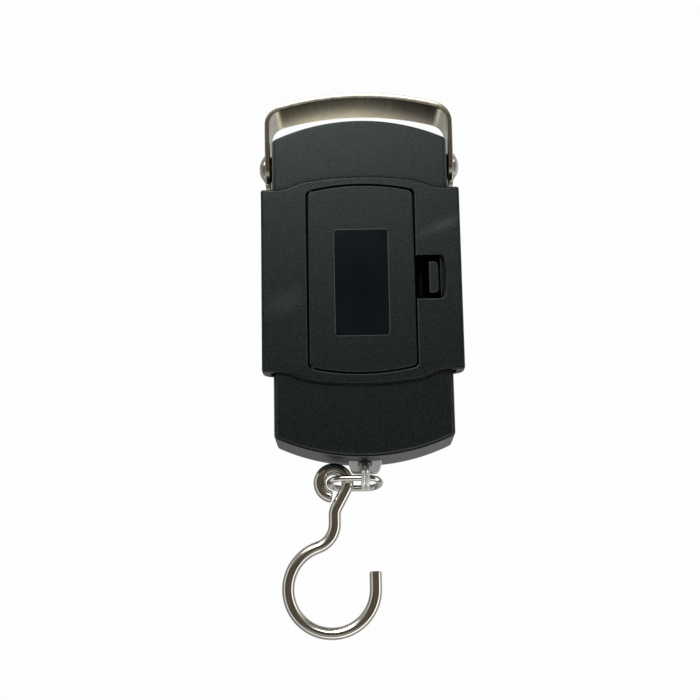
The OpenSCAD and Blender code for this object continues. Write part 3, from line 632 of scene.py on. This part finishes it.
def build_rear_shell():
    over = 40
    sleeve = loft("rear_shell", [[(x, y, z) for x, y in wing_section()] for z in (-over, over)])
    solid(sleeve, prism(sleeve_outline(), sleeve_y - 1, 0), "INTERSECT")
    bevel(sleeve, 0.8, 4).use_clamp_overlap = False
    bake(sleeve)
    plate = slab("plate", lambda d: arched(plate_hw - d, plate_pk - d, END_R - d, 1 - d),
                 edge_levels(plate_y, groove_y, 0.5, 0.12))
    fuse(plate, prism(arched(lap_hw, lap_pk, END_R, 1.5), groove_y - 0.3, LAP_Y, "skirt"))
    cut(plate, prism(arched(lap_hw - LAP_T, lap_pk - LAP_T, END_R - LAP_T, 1), DECK_Y, 0))
    fuse(sleeve, plate, prism(around_well(WELL_T, 0.5), ledge_y, WELL_FLOOR, "well"),
         prism(around_pocket(WELL_T, 0.5), POCKET_STEP_Y, POCKET_FLOOR + WELL_T, "pocket"))
    for x, z in BOSSES:
        fuse(sleeve, rod((x, DECK_Y - 0.5, z), (0, 1, 0), BOSS_R + 0.2, BOSS_Y - DECK_Y + 0.4))
    cut(sleeve, flared(lambda d: door_outline(d, DOOR_GAP), sleeve_y, ledge_y, 0.35))
    cut(sleeve, flared(pocket_mouth, sleeve_y, POCKET_STEP_Y, 0.55))
    cut(sleeve, prism(around_pocket(0, 0.6), ledge_y - 1, POCKET_FLOOR))
    cut(sleeve, prism(around_well(0, 0.8), sleeve_y, WELL_FLOOR - 1.2))
    for x, z in BOSSES:
        cut(sleeve, rod((x, ledge_y - 1, z), (0, 1, 0), SCREW_HEAD_R, SCREW_WELL_L))
    finish_piece(sleeve, "rear_shell_body", housing_mat, "housing", "housing_plastic", "rear_shell")


# ------------------------------ front shell, bezel, display

BUTTON_W, BUTTON_H, BUTTON_FIT, BUTTON_FLANGE = 9.6, 5.6, 0.25, 1.2


def button_opening(x, inset=0.0):
    grow = 2 * (BUTTON_FIT - inset)
    return stadium(BUTTON_W + grow, BUTTON_H + grow, x, BUTTON_Z)


def build_front_shell():
    front_in, pad_in = FRONT_Y - WALL, PAD_Y - WALL
    shell = slab("front_shell", lambda d: arched(shell_hw - d, shell_pk - d, END_R - d, max(0.2, 1.6 - d)),
                 edge_levels(rim_y, FRONT_Y, 0.25, 2.6, 7))
    fuse(shell, slab("pad", lambda d: arched(PAD_HW - d, PAD_PK - d, END_R - d, 3 - d),
                     edge_levels(front_in, PAD_Y, 0, 0.7, 5)))
    cut(shell, prism(arched(shell_hw - WALL, shell_pk - WALL, END_R - WALL, 1.5), rim_y - 1, front_in),
        prism(arched(PAD_HW - WALL, PAD_PK - WALL, END_R - WALL, 2), front_in - 1, pad_in))
    for x, z in BOSSES:
        fuse(shell, rod((x, BOSS_Y, z), (0, 1, 0), BOSS_R, pad_in + 0.2 - BOSS_Y))
        cut(shell, rod((x, BOSS_Y - 1, z), (0, 1, 0), BOSS_BORE_R, BOSS_BORE_Y + 1 - BOSS_Y))
    for side in (-1, 1):
        cut(shell, rod((side * (shell_hw - 3), 0, PIVOT_Z), (side, 0, 0), PIVOT_HOLE_R, 5))
    slot = rounded_box(-LUG_SLOT_HW, LUG_SLOT_HW, -shell_pk - 1, -shell_pk + 3, 0.5)
    cut(shell, prism(slot, -LUG_SLOT_HD, LUG_SLOT_HD),
        prism(around(lcd_lo, lcd_hi, 0.4, 0.4), PAD_Y - 3, PAD_Y + 1))
    for x in BUTTON_XS:
        cut(shell, prism(button_opening(x), PAD_Y - 3, PAD_Y + 1))
    finish_piece(shell, "front_shell_body", lit_shell_mat, "housing", "shell_plastic", "front_shell")


def build_bezel():
    frame_x, frame_z = 1.6, 1.4
    bezel = slab("front_bezel", lambda d: arched(PAD_HW - 1 - d, PAD_PK - 1 - d, END_R - 1 - d, 2.5 - d),
                 edge_levels(PAD_Y, BEZEL_Y, 0, 0.45))
    cut(bezel, prism(rounded_box(lcd_lo.x + frame_x, lcd_hi.x - frame_x, lcd_lo.z + frame_z,
                                 lcd_hi.z - frame_z, 0.6), PAD_Y - 1, BEZEL_Y + 1))
    cut(bezel, flared(lambda d: around(lcd_lo, lcd_hi, -0.2 - d, 0.6), BEZEL_Y, PAD_Y + 0.3, 0.15))
    for x in BUTTON_XS:
        cut(bezel, flared(lambda d: button_opening(x, d), BEZEL_Y, PAD_Y - 1, 0.3))
    finish_piece(bezel, "bezel_plate", bezel_mat, "housing", "bezel", "front_bezel")


def build_window():
    pane = slab("window", lambda d: around(pane_lo, pane_hi, -d, 0.5),
                edge_levels(pane_lo.y, pane_hi.y, 0, 0.12, 3))
    finish_piece(pane, "window_pane", window_mat, "housing", "window", "display_window")


def build_digits():
    """Four seven-segment zeros and a point, printed on the face of the display glass, which is
    read from +Y."""
    w, h, bar_t, gap, lean, pitch, film = 4.4, 8.4, 0.85, 0.16, 0.09, 6.8, 0.04
    y = lcd_hi.y + 0.02
    mid_z = (lcd_lo.z + lcd_hi.z) / 2
    points, faces = [], []

    def plate(shape, cx, cz=0.0):
        base, n = len(points), len(shape)
        for level in (y, y + film):
            points.extend([(-(cx + x + lean * z), level, mid_z + cz + z) for x, z in shape])
        faces.append(tuple(base + k for k in range(n))[::-1])
        faces.append(tuple(base + n + k for k in range(n)))
        for k in range(n):
            a, b = base + k, base + (k + 1) % n
            faces.append((a, b, b + n, a + n))

    def bar(cx, cz, length, upright):
        a, b = length / 2, bar_t / 2
        shape = [(-a, 0), (-a + b, -b), (a - b, -b), (a, 0), (a - b, b), (-a + b, b)]
        return [(cx - z, cz + x) if upright else (cx + x, cz + z) for x, z in shape]

    ring = [(0, h / 2, w, 0), (w / 2, h / 4, h / 2, 1), (w / 2, -h / 4, h / 2, 1), (0, -h / 2, w, 0),
            (-w / 2, -h / 4, h / 2, 1), (-w / 2, h / 4, h / 2, 1)]
    for i in range(4):
        for x, z, length, upright in ring:
            plate(bar(x, z, length - 2 * gap, upright), (i - 1.5) * pitch)
    dot = 0.45
    plate([(-dot, -dot), (dot, -dot), (dot, dot), (-dot, dot)], 0.05, -h / 2)
    finish_piece(add_mesh("lcd_figures", points, faces), "lcd_figures", digit_mat, "housing", "black_part")


def build_buttons():
    # Inset of the cap's outline and its depth below the top, from the flank to the crown
    crown = [(0, 1.0), (0.08, 0.7), (0.3, 0.45), (0.7, 0.27), (1.3, 0.14), (2.0, 0.04), (2.7, 0)]
    for name, (lo, hi) in button_boxes.items():
        cx = (lo.x + hi.x) / 2
        cap = slab(name, lambda d: stadium(BUTTON_W - 2 * d, BUTTON_H - 2 * d, cx, BUTTON_Z, 16),
                   [(0, lo.y + 0.5)] + [(inset, hi.y - depth) for inset, depth in crown])
        flange = stadium(BUTTON_W + 2 * BUTTON_FLANGE, BUTTON_H + 2 * BUTTON_FLANGE, cx, BUTTON_Z)
        fuse(cap, prism(flange, lo.y, lo.y + 0.9, "flange"))
        body = name.replace("button_", "") + "_button"
        finish_piece(cap, name + "_cap", button_mat, body, "button_plastic", name)


# ------------------------------ battery door

PEG_R, PEG_L = 0.55, 3.4
LATCH_T, LATCH_X1, LATCH_Y = 0.9, 22.5, -7.6


def build_door():
    door = slab("battery_door", door_outline, edge_levels(sleeve_y, door_back, 0.55, 0.3, 5))
    fuse(door, prism(rounded_box(latch_lo.x, latch_lo.x + LATCH_T, latch_lo.z, latch_hi.z, 0.3),
                     door_back - 0.4, LATCH_Y - 0.05, "leg"))
    for side in (-1, 1):
        peg = (-door_hw + DOOR_T / 2, sleeve_y + DOOR_T / 2, door_z + side * (door_pk - PEG_L))
        fuse(door, rod(peg, (0, 0, side), PEG_R, PEG_L, 24))
    cut(door, flared(lambda d: around(label_lo, label_hi, 0.1 - d, 0.8 - d), sleeve_y, sleeve_y + 0.5, 0.18))
    finish_piece(door, "door_panel", housing_mat, "door", "housing_plastic", "battery_door")


def build_label():
    film = slab("label", lambda d: around(label_lo, label_hi, -d, 0.75 - d),
                edge_levels(label_lo.y, label_hi.y, 0.08, 0, 3))
    finish_piece(film, "label_film", label_mat, "door", "label_film", "label_plate")


def build_latch():
    """Sprung latch: a half-ring bend and a leg swept through the section, with a finger tab and a
    nose that catches in the pocket."""
    z0, z1, x0, x1 = latch_lo.z, latch_hi.z, latch_lo.x, LATCH_X1
    inner, foot_y = x1 - LATCH_T, -11.6
    tab_x, tab_r, tab_t = 24.5, 1.2, 1.2
    nose_y0, nose_y1 = -9.9, -9.0
    cx, r = (x0 + x1) / 2, (x1 - x0) / 2
    bend = arc(cx, LATCH_Y, r, 0, PI, 24) + arc(cx, LATCH_Y, r - LATCH_T, PI, 0, 24)
    strip = [(x1, foot_y)] + bend + [(inner, foot_y)]
    latch = loft("latch", [[(x, y, z) for x, y in strip] for z in (z0, z1)])

    def tab(d):
        lower = arc(tab_x - tab_r, z0 + tab_r, tab_r - d, -PI / 2, 0, 6)
        upper = arc(tab_x - tab_r, z1 - tab_r, tab_r - d, 0, PI / 2, 6)
        return [(inner + d, z0 + d)] + lower + upper + [(inner + d, z1 - d)]

    fuse(latch, slab("tab", tab, edge_levels(latch_lo.y, latch_lo.y + tab_t, 0.3, 0.1)),
         prism(rounded_box(inner, latch_hi.x, z0 + 1, z1 - 1, 0.2), nose_y0, nose_y1, "nose"))
    finish_piece(latch, "latch_spring", latch_mat, "latch", "housing_plastic", "door_latch")


# ------------------------------ handle

STRAP_T, STRAP_END_W = 1.7, 16.0
STRAP_W = strap_hi.y - strap_lo.y
STRAP_HW, CROWN_Z = strap_hi.x, strap_hi.z
CROWN_R, BEND_R, STRAP_HOLE_R = 95.8, 7.0, 2.5
SHANK_R, SHOULDER_R, SHANK_X, SHOULDER_X = 1.95, 2.45, 20.7, 26.2


def strap_path():
    """Centre line of the strap from one pivot over the crown to the other, as x, z and the angle of
    its outward normal."""
    side_steps, bend_steps, crown_steps = 16, 14, 26
    half = STRAP_T / 2
    w, r, big_r, top = STRAP_HW - half, BEND_R - half, CROWN_R - half, CROWN_Z - half
    drop = math.sqrt((big_r - r) ** 2 - (w - r) ** 2)
    turn = math.atan2(drop, w - r)
    bend_z = top - big_r + drop
    path = [(w, PIVOT_Z + (bend_z - PIVOT_Z) * i / side_steps, 0.0) for i in range(side_steps + 1)]
    for i in range(1, bend_steps + 1):
        a = turn * i / bend_steps
        path.append((w - r + r * math.cos(a), bend_z + r * math.sin(a), a))
    for i in range(1, crown_steps + 1):
        a = turn + (PI / 2 - turn) * i / crown_steps
        path.append((big_r * math.cos(a), top - big_r + big_r * math.sin(a), a))
    return path + [(-x, z, PI - a) for x, z, a in reversed(path[:-1])]


def build_strap():
    """Flat stadium bent along the path: nested stadium loops on both faces, joined by round edges."""
    path = strap_path()
    n = len(path)
    half_w, half_end, half_t, edge = STRAP_W / 2, STRAP_END_W / 2, STRAP_T / 2, 0.35
    turns = [PI / 2 * i / 4 for i in range(5)]
    levels = [(half_w * 0.55, half_t), (1.2, half_t)]
    levels += [(edge * (1 - math.sin(a)), half_t - edge * (1 - math.cos(a))) for a in turns]
    levels += [(inset, -height) for inset, height in reversed(levels)]
    cap = [PI * i / 16 for i in range(1, 16)]
    rings = []
    for inset, height in levels:
        ring = []
        for side, run in ((-1, path), (1, list(reversed(path)))):
            for x, z, a in run:
                flank = half_end + (half_w - half_end) * (z - PIVOT_Z) / (CROWN_Z - PIVOT_Z) - inset
                ring.append((x + height * math.cos(a), side * flank, z + height * math.sin(a)))
            x, z, a = run[-1]
            r = half_end - inset
            ring += [(x + height * math.cos(a), side * r * math.cos(t), z - r * math.sin(t)) for t in cap]
        rings.append(ring)
    far = n + len(cap)
    faces = [(i, i + 1, far + n - 2 - i, far + n - 1 - i) for i in range(n - 1)]
    faces += [tuple(range(n - 1, far + 1)), tuple(range(far + n - 1, len(rings[0]))) + (0,)]
    strap = loft("strap", rings, cap=faces)
    for side in (-1, 1):
        cut(strap, rod((side * (STRAP_HW - 3), 0, PIVOT_Z), (side, 0, 0), STRAP_HOLE_R, 6, 40))
    finish_piece(strap, "strap_handle", strap_mat, "handle", "strap_steel", "handle_strap")


def cross_slot(side, turn, seat):
    """Cutter for one tapered slot of the cross recess in a screw's head."""
    deep = Vector((side, 0, 0))
    wide = Vector((0, math.cos(turn), math.sin(turn)))
    thick = deep.cross(wide)
    rings = []
    for depth, a, b in ((0.7, 0.35, 0.2), (2.4, 2.2, 0.5)):
        centre = Vector((side * (seat + depth), 0, PIVOT_Z))
        rings.append([tuple(centre + wide * a * u + thick * b * v)
                      for u, v in ((-1, -1), (1, -1), (1, 1), (-1, 1))])
    return loft("cutter", rings)


def build_handle_screws():
    head_r, head_h, rim, seat = (screw_hi.z - screw_lo.z) / 2, 2.1, 0.35, STRAP_HW + 0.1
    dome_r = (head_r ** 2 + (head_h - rim) ** 2) / (2 * (head_h - rim))
    top = math.asin(head_r / dome_r)
    dome = [(dome_r * math.sin(a), seat + head_h - dome_r + dome_r * math.cos(a))
            for a in [top * i / 12 for i in range(12, -1, -1)]]
    profile = [(0, SHANK_X), (SHANK_R - 0.2, SHANK_X), (SHANK_R, SHANK_X + 0.3), (SHANK_R, SHOULDER_X),
               (SHOULDER_R, SHOULDER_X), (SHOULDER_R, seat), (head_r - 0.25, seat),
               (head_r - 0.06, seat + 0.08), (head_r, seat + 0.2)] + dome
    screws = []
    for side in (-1, 1):
        screw = lathe("screw", profile, (0, 0, PIVOT_Z), (side, 0, 0), 56)
        screws.append(cut(screw, *(cross_slot(side, turn, seat) for turn in (0.6, 0.6 + PI / 2))))
    pair = fuse(*screws)
    finish_piece(pair, "pivot_screws", screw_mat, "housing", "screw_steel", "handle_screws")


# ------------------------------ lug, ring, link and hook

LUG_HW, LUG_FOOT_X, LUG_FOOT_R, LUG_HEAD_HW, LUG_STEP_Z = 5.3, 3.1, 1.6, 9, -35
LUG_HOLE_X, LUG_HOLE_Z, LUG_HOLE_R = 4.5, -28.5, 1.6
EYE_Z, EYE_R, EYE_FLARE, EYE_LIP = -55.7, 2.0, 0.4, 0.7
RING_WIRE_R, RING_STEPS, RING_START, RING_TURNS = 0.66, 132, 0.62, 1.97
LINK_WIRE_R, LINK_H, LINK_LEAN = 1.0, 8.2, math.radians(-16.3)


def build_lug():
    def outline(d):
        foot = arc(LUG_FOOT_X, lug_lo.z + LUG_FOOT_R, LUG_FOOT_R - d, -PI / 2, -PI / 12, 6)
        right = foot + [(LUG_HW - d, EYE_Z - 0.5 + d * 0.2), (LUG_HW - d, LUG_STEP_Z - d),
                        (LUG_HEAD_HW - d, LUG_STEP_Z + d), (LUG_HEAD_HW - d, lug_hi.z - d)]
        return right + [(-x, z) for x, z in reversed(right)]
    lug = slab("lug", outline, edge_levels(lug_lo.y, lug_hi.y, 0.3, 0.3, 3))
    back = [(EYE_R + EYE_LIP, lug_lo.y - 1), (EYE_R + EYE_FLARE, lug_lo.y), (EYE_R, lug_lo.y + EYE_FLARE)]
    front = [(EYE_R, lug_hi.y - EYE_FLARE), (EYE_R + EYE_FLARE, lug_hi.y), (EYE_R + EYE_LIP, lug_hi.y + 1)]
    cut(lug, lathe("cutter", back + front, (0, 0, EYE_Z), (0, 1, 0), 40))
    for x in (-LUG_HOLE_X, LUG_HOLE_X):
        cut(lug, rod((x, -3, LUG_HOLE_Z), (0, 1, 0), LUG_HOLE_R, 6))
    finish_piece(lug, "lug_tongue", lug_mat, "housing", "lug_steel", "hook_lug")


def build_ring():
    """Split ring: two touching turns with a short cross-over."""
    offset = ring_hi.x - RING_WIRE_R
    mean = (ring_hi.z - ring_lo.z) / 2 - RING_WIRE_R
    cy, cz = (ring_lo.y + ring_hi.y) / 2, (ring_lo.z + ring_hi.z) / 2
    path = []
    for i in range(RING_STEPS + 1):
        t = i / RING_STEPS
        swing = min(1, max(0, (t - 0.46) / 0.08))
        x = offset * (2 * swing * swing * (3 - 2 * swing) - 1)
        a = PI * RING_START + 2 * PI * RING_TURNS * t
        path.append((x, cy + mean * math.cos(a), cz + mean * math.sin(a)))
    ring = tube("ring", path, RING_WIRE_R, (1, 0, 0), steps=20, ends=0.12)
    finish_piece(ring, "split_ring", ring_mat, "ring", "hook_steel", "connector_ring")


def build_link():
    """Oval link, whose rear side lies on the axis it tilts about."""
    joint = next(j for j in frame["joints"] if j["name"] == "link_tilt")
    near = Vector(joint["pos_m"]) / MM - Vector((0, 0, MID_Z / MM))
    along = Vector((0, math.cos(LINK_LEAN), math.sin(LINK_LEAN)))
    r = LINK_H / 2
    x0, x1 = link_lo.x + LINK_WIRE_R + r, link_hi.x - LINK_WIRE_R - r
    flat = [(x0 + (x1 - x0) * i / 8, 0) for i in range(8)]
    flat += arc(x1, r, r, -PI / 2, PI / 2, 28)
    flat += [(x1 + (x0 - x1) * i / 8, LINK_H) for i in range(1, 8)]
    flat += arc(x0, r, r, PI / 2, 3 * PI / 2, 28)[:-1]
    path = [Vector((x, near.y, near.z)) + along * v for x, v in flat]
    link = tube("link", path, LINK_WIRE_R, Vector((1, 0, 0)).cross(along), closed=True, steps=24)
    finish_piece(link, "oval_link", hook_mat, "link", "hook_steel", "chain_link")


def build_hook():
    """Bent wire: eye, leaning neck, bowl and straight tip, all in one plane."""
    wire_r = (hook_hi.y - hook_lo.y) / 2 - 0.03
    y = (hook_lo.y + hook_hi.y) / 2
    loop_x, loop_z, loop_r, lean, end_gap = -10.2, -62.0, 4.45, math.radians(28.6), 0.15
    bowl_x, bowl_z, bowl_r, tip = -11.2, -95.5, 13.8, 5.3
    neck_r, shank_x, throat_r = 6.0, -10.0, 7.9
    throat_x = shank_x - throat_r
    back = math.acos((throat_x - bowl_x) / (bowl_r + throat_r))
    throat_z = bowl_z + (bowl_r + throat_r) * math.sin(back)
    touch_x, touch_z = loop_x + loop_r * math.cos(lean), loop_z - loop_r * math.sin(lean)
    neck_z = touch_z + ((shank_x + neck_r - touch_x) * math.cos(lean) - neck_r) / math.sin(lean)
    end = 2 * PI - lean - math.acos((loop_r - wire_r - end_gap) / (loop_r + wire_r))
    neck = arc(shank_x + neck_r, neck_z, neck_r, PI - lean, PI, 12)
    run_x, run_z = neck[0][0] - touch_x, neck[0][1] - touch_z
    flat = arc(loop_x, loop_z, loop_r, end, -lean, 60)
    flat += [(touch_x + run_x * i / 6, touch_z + run_z * i / 6) for i in range(1, 6)]
    flat += neck
    flat += [(shank_x, neck_z + (throat_z - neck_z) * i / 4) for i in range(1, 4)]
    flat += arc(throat_x, throat_z, throat_r, 0, back - PI, 22)
    flat += arc(bowl_x, bowl_z, bowl_r, back, 2 * PI, 90)[1:]
    flat += [(bowl_x + bowl_r, bowl_z + tip * i / 5) for i in range(1, 6)]
    hook = tube("hook", [(x, y, z) for x, z in flat], wire_r, (0, 1, 0), steps=40, ends=0.4)
    finish_piece(hook, "wire_hook", hook_mat, "hook_body", "hook_steel", "hook")


# ------------------------------ batteries and carried-over nodes

CELL_R, CELL_NUB, NUB_R = 5.25, 0.8, 1.9


def build_batteries():
    for name, way in (("battery_1", 1), ("battery_2", -1)):
        lo, hi = span(name)
        foot = ((lo.x + hi.x) / 2, (lo.y + hi.y) / 2, lo.z if way > 0 else hi.z)
        length = hi.z - lo.z
        top = length - CELL_NUB
        profile = [(0, 0.0), (3.0, 0.0), (3.1, 0.12), (4.3, 0.12), (4.9, 0.2), (5.15, 0.5), (CELL_R, 0.9),
                   (CELL_R, top - 0.7), (5.1, top - 0.3), (4.7, top - 0.05), (4.2, top), (2.1, top),
                   (NUB_R, top + 0.2), (NUB_R, length - 0.25), (NUB_R - 0.25, length), (0, length)]
        cell = lathe(name, profile, foot, (0, 0, way), 48)
        finish_piece(cell, name + "_cell", jacket_mats[name], "housing", "battery_jacket", name)


# Material and width of the broken edges, in mm, of each CAD node that stays
CARRIED = {
    "yoke": (zinc_mat, 0.25), "load_cell": (cell_mat, 0.15), "strain_gauges": (gauge_mat, 0),
    "cell_screws": (screw_mat, 0.08), "strap_washers": (nylon_mat, 0.1), "main_pcb": (board_mat, 0.05),
    "controller_chip": (black_mat, 0.1), "lcd_glass": (lcd_mat, 0.08), "lcd_holder": (white_mat, 0.1),
    "zebra_strips": (strip_mat, 0.05), "tact_switches": (black_mat, 0.08), "pcb_screws": (screw_mat, 0.06),
    "shell_screws": (screw_mat, 0.06), "battery_contacts": (contact_mat, 0),
    "battery_springs": (contact_mat, 0), "sensor_cable": (grey_mat, 0), "battery_wires": (red_mat, 0),
}


def finish_carried():
    for name, (material, width) in CARRIED.items():
        obj = frame["nodes"][name]
        obj.data.materials.clear()
        obj.data.materials.append(material)
        if width:
            flat = obj.modifiers.new("flats", "DECIMATE")
            flat.decimate_type = "DISSOLVE"
            flat.angle_limit = math.radians(1)
            bevel(obj, width, 2)


build_rear_shell()
build_front_shell()
build_bezel()
build_window()
build_digits()
build_buttons()
build_door()
build_label()
build_latch()
build_strap()
build_handle_screws()
build_lug()
build_ring()
build_link()
build_hook()
build_batteries()
finish_carried()


# ------------------------------ stage, light and camera

# The room that every ray but the camera's sees. Ramps run from 0 to 1 and hold colours.
# In front: from straight down to straight up
ROOM_FRONT = [(0.0, (0.55, 0.55, 0.53)), (0.18, (0.45, 0.44, 0.42)), (0.3, (0.12, 0.11, 0.09)),
              (0.36, (0.06, 0.05, 0.037)), (0.44, (0.1, 0.08, 0.055)), (0.54, (0.1, 0.08, 0.055)),
              (0.62, (0.06, 0.05, 0.035)), (0.69, (0.12, 0.11, 0.08)), (0.715, (0.3, 0.3, 0.28)),
              (0.83, (0.35, 0.34, 0.3)), (1.0, (0.3, 0.29, 0.25))]
# Round the sides: from the front to the back
ROOM_SIDES = [(0.0, (0.1, 0.08, 0.055)), (0.12, (0.08, 0.065, 0.045)), (0.18, (0.02, 0.018, 0.016)),
              (0.23, (0.04, 0.038, 0.035)), (0.27, (0.8, 0.79, 0.76)), (0.4, (1.5, 1.5, 1.46)),
              (0.5, (1.0, 1.0, 0.97)), (0.57, (0.1, 0.1, 0.09)), (0.66, (0.14, 0.14, 0.13)),
              (0.8, (0.5, 0.5, 0.49)), (1.0, (0.42, 0.42, 0.41))]
ROOM_LEFT = (0.1, 0.09, 0.07, 1)
ROOM_TOP = (0.3, 0.29, 0.25, 1)
BACKDROP = (0.985, 0.985, 0.985, 1)

# Lamp in front: sines of the elevations where it begins and ends, its middle and half width
# across the room, and its brightness
LAMP_RISE, LAMP_FALL = (0.37, 0.44), (0.6, 0.66)
LAMP_X, LAMP_SPREAD, LAMP_POWER = -0.04, 0.26, 11.5

# Card behind the housing: brightness from left to right and from its lower edge up
CARD_ACROSS = [(0.0, (0.22, 0.215, 0.21)), (0.25, (0.09, 0.085, 0.07)), (0.5, (0.1, 0.096, 0.08)),
               (0.62, (0.06, 0.057, 0.05)), (0.8, (0.05, 0.047, 0.041)), (1.0, (0.12, 0.115, 0.11))]
CARD_UP = [(0.0, (0.2, 0.2, 0.2)), (0.3, (0.35, 0.35, 0.35)), (0.55, (0.5, 0.5, 0.5)),
           (0.7, (1.2, 1.2, 1.2)), (0.82, (5, 5.2, 5.4)), (1.0, (8, 8.3, 8.6))]
CARD_HW, CARD_Y, CARD_Z0, CARD_Z1 = 60, 60, 10, 50
CARD_FADE_HW, CARD_FADE_Z = 45, (34, 44)

FLOOR_HW, FLOOR_Z = 3000, -420
CAMERA_AT, CAMERA_LENS = (-4.14, -480, -123.7), 78.0
CAMERA_PITCH, CAMERA_ROLL = math.radians(12.3), math.radians(1.1)


def build_floor():
    s = Shader("floor_paper")
    s.set(Base_Color=s.mix(s.noise(30, 3.0), (0.9, 0.9, 0.9, 1), (0.93, 0.93, 0.93, 1)), Roughness=0.8,
          Emission_Color=(1, 1, 1, 1), Emission_Strength=0.3)
    corners = [(x * FLOOR_HW, y * FLOOR_HW, FLOOR_Z) for x, y in ((-1, -1), (1, -1), (1, 1), (-1, 1))]
    floor = add_mesh("floor", corners, [(0, 1, 2, 3)])
    floor.data.materials.append(s.mat)
    floor.visible_glossy = False
    floor.visible_diffuse = False


def build_world():
    """Pale studio: white to the camera. Everything else sees a room that is dim in front, has a
    long soft lamp there, is bright round the sides and duller on its left, overhead and behind."""
    world = bpy.data.worlds.new("studio")
    bpy.context.scene.world = world
    world.use_nodes = True
    world.node_tree.nodes.clear()
    s = Nodes(world.node_tree)
    x, depth, height = s.axes(s.node("ShaderNodeTexCoord").outputs["Generated"])
    lamp = s.math("MULTIPLY", s.remap(height, *LAMP_RISE, 0, 1), s.remap(height, *LAMP_FALL, 1, 0))
    off = s.math("ABSOLUTE", s.math("SUBTRACT", x, LAMP_X), 0)
    lamp = s.math("MULTIPLY", lamp, s.remap(off, 0, LAMP_SPREAD, LAMP_POWER, 0))
    front = s.ramp(s.remap(height, -1, 1, 0, 1), ROOM_FRONT)
    front = s.operate("ShaderNodeVectorMath", "ADD", front, lamp)["Vector"]
    sides = s.ramp(s.remap(depth, -1, 1, 0, 1), ROOM_SIDES)
    sides = s.mix(s.remap(x, -0.6, 0.2, 0.5, 0), sides, ROOM_LEFT)
    sides = s.mix(s.remap(height, 0.45, 0.8, 0, 1), sides, ROOM_TOP)
    room = s.mix(s.remap(depth, -0.5, -0.85, 0, 1, smooth=True), sides, front)
    seen = s.node("ShaderNodeLightPath").outputs["Is Camera Ray"]
    back = s.node("ShaderNodeBackground", Color=s.mix(seen, room, BACKDROP))
    s.tree.links.new(back.outputs[0], s.node("ShaderNodeOutputWorld").inputs[0])


def build_backdrop_card():
    """Card behind the top of the housing, seen only in reflections: it is what the underside of the
    strap mirrors."""
    s = Shader("backdrop_card")
    s.tree.nodes.remove(s.surface)
    x, _, z = s.axes(s.coords)
    across = s.ramp(s.remap(x, -CARD_FADE_HW * MM, CARD_FADE_HW * MM, 0, 1), CARD_ACROSS)
    low, high = (MID_Z + level * MM for level in CARD_FADE_Z)
    glow = s.node("ShaderNodeEmission", Color=across, Strength=s.ramp(s.remap(z, low, high, 0, 1), CARD_UP))
    s.tree.links.new(glow.outputs[0], s.tree.nodes["Material Output"].inputs["Surface"])
    corners = [(-CARD_HW, CARD_Z0), (CARD_HW, CARD_Z0), (CARD_HW, CARD_Z1), (-CARD_HW, CARD_Z1)]
    card = add_mesh("backdrop_card", [(x, CARD_Y, z) for x, z in corners], [(0, 1, 2, 3)])
    card.data.materials.append(s.mat)
    card.visible_camera = False
    card.visible_shadow = False
    card.visible_diffuse = False


def softbox(name, place, target, width, height, watts):
    light = bpy.data.lights.new(name, "AREA")
    light.shape = "RECTANGLE"
    light.size, light.size_y = width * MM, height * MM
    light.energy = watts
    obj = bpy.data.objects.new(name, light)
    obj.location = Vector(place) * MM + Vector((0, 0, MID_Z))
    aim = (Vector(target) - Vector(place)) * MM
    obj.rotation_euler = aim.to_track_quat("-Z", "Y").to_euler()
    bpy.context.scene.collection.objects.link(obj)
    return obj


def build_lights():
    softbox("key", (-170, -300, 330), (0, 0, 40), 300, 160, 0.5)
    fill = softbox("fill", (60, -300, -360), (0, 0, -55), 160, 90, 0.75)
    fill.visible_glossy = False


def build_camera():
    data = bpy.data.cameras.new("camera")
    data.sensor_width = 36
    data.lens = CAMERA_LENS
    data.clip_start, data.clip_end = 0.01, 20
    camera = bpy.data.objects.new("camera", data)
    camera.location = Vector(CAMERA_AT) * MM + Vector((0, 0, MID_Z))
    turn = Matrix.Rotation(PI / 2 + CAMERA_PITCH, 3, "X") @ Matrix.Rotation(-CAMERA_ROLL, 3, "Z")
    camera.rotation_euler = turn.to_euler()
    bpy.context.scene.collection.objects.link(camera)
    bpy.context.scene.camera = camera


build_floor()
build_world()
build_backdrop_card()
build_lights()
build_camera()
bpy.context.scene.view_settings.view_transform = "Standard"
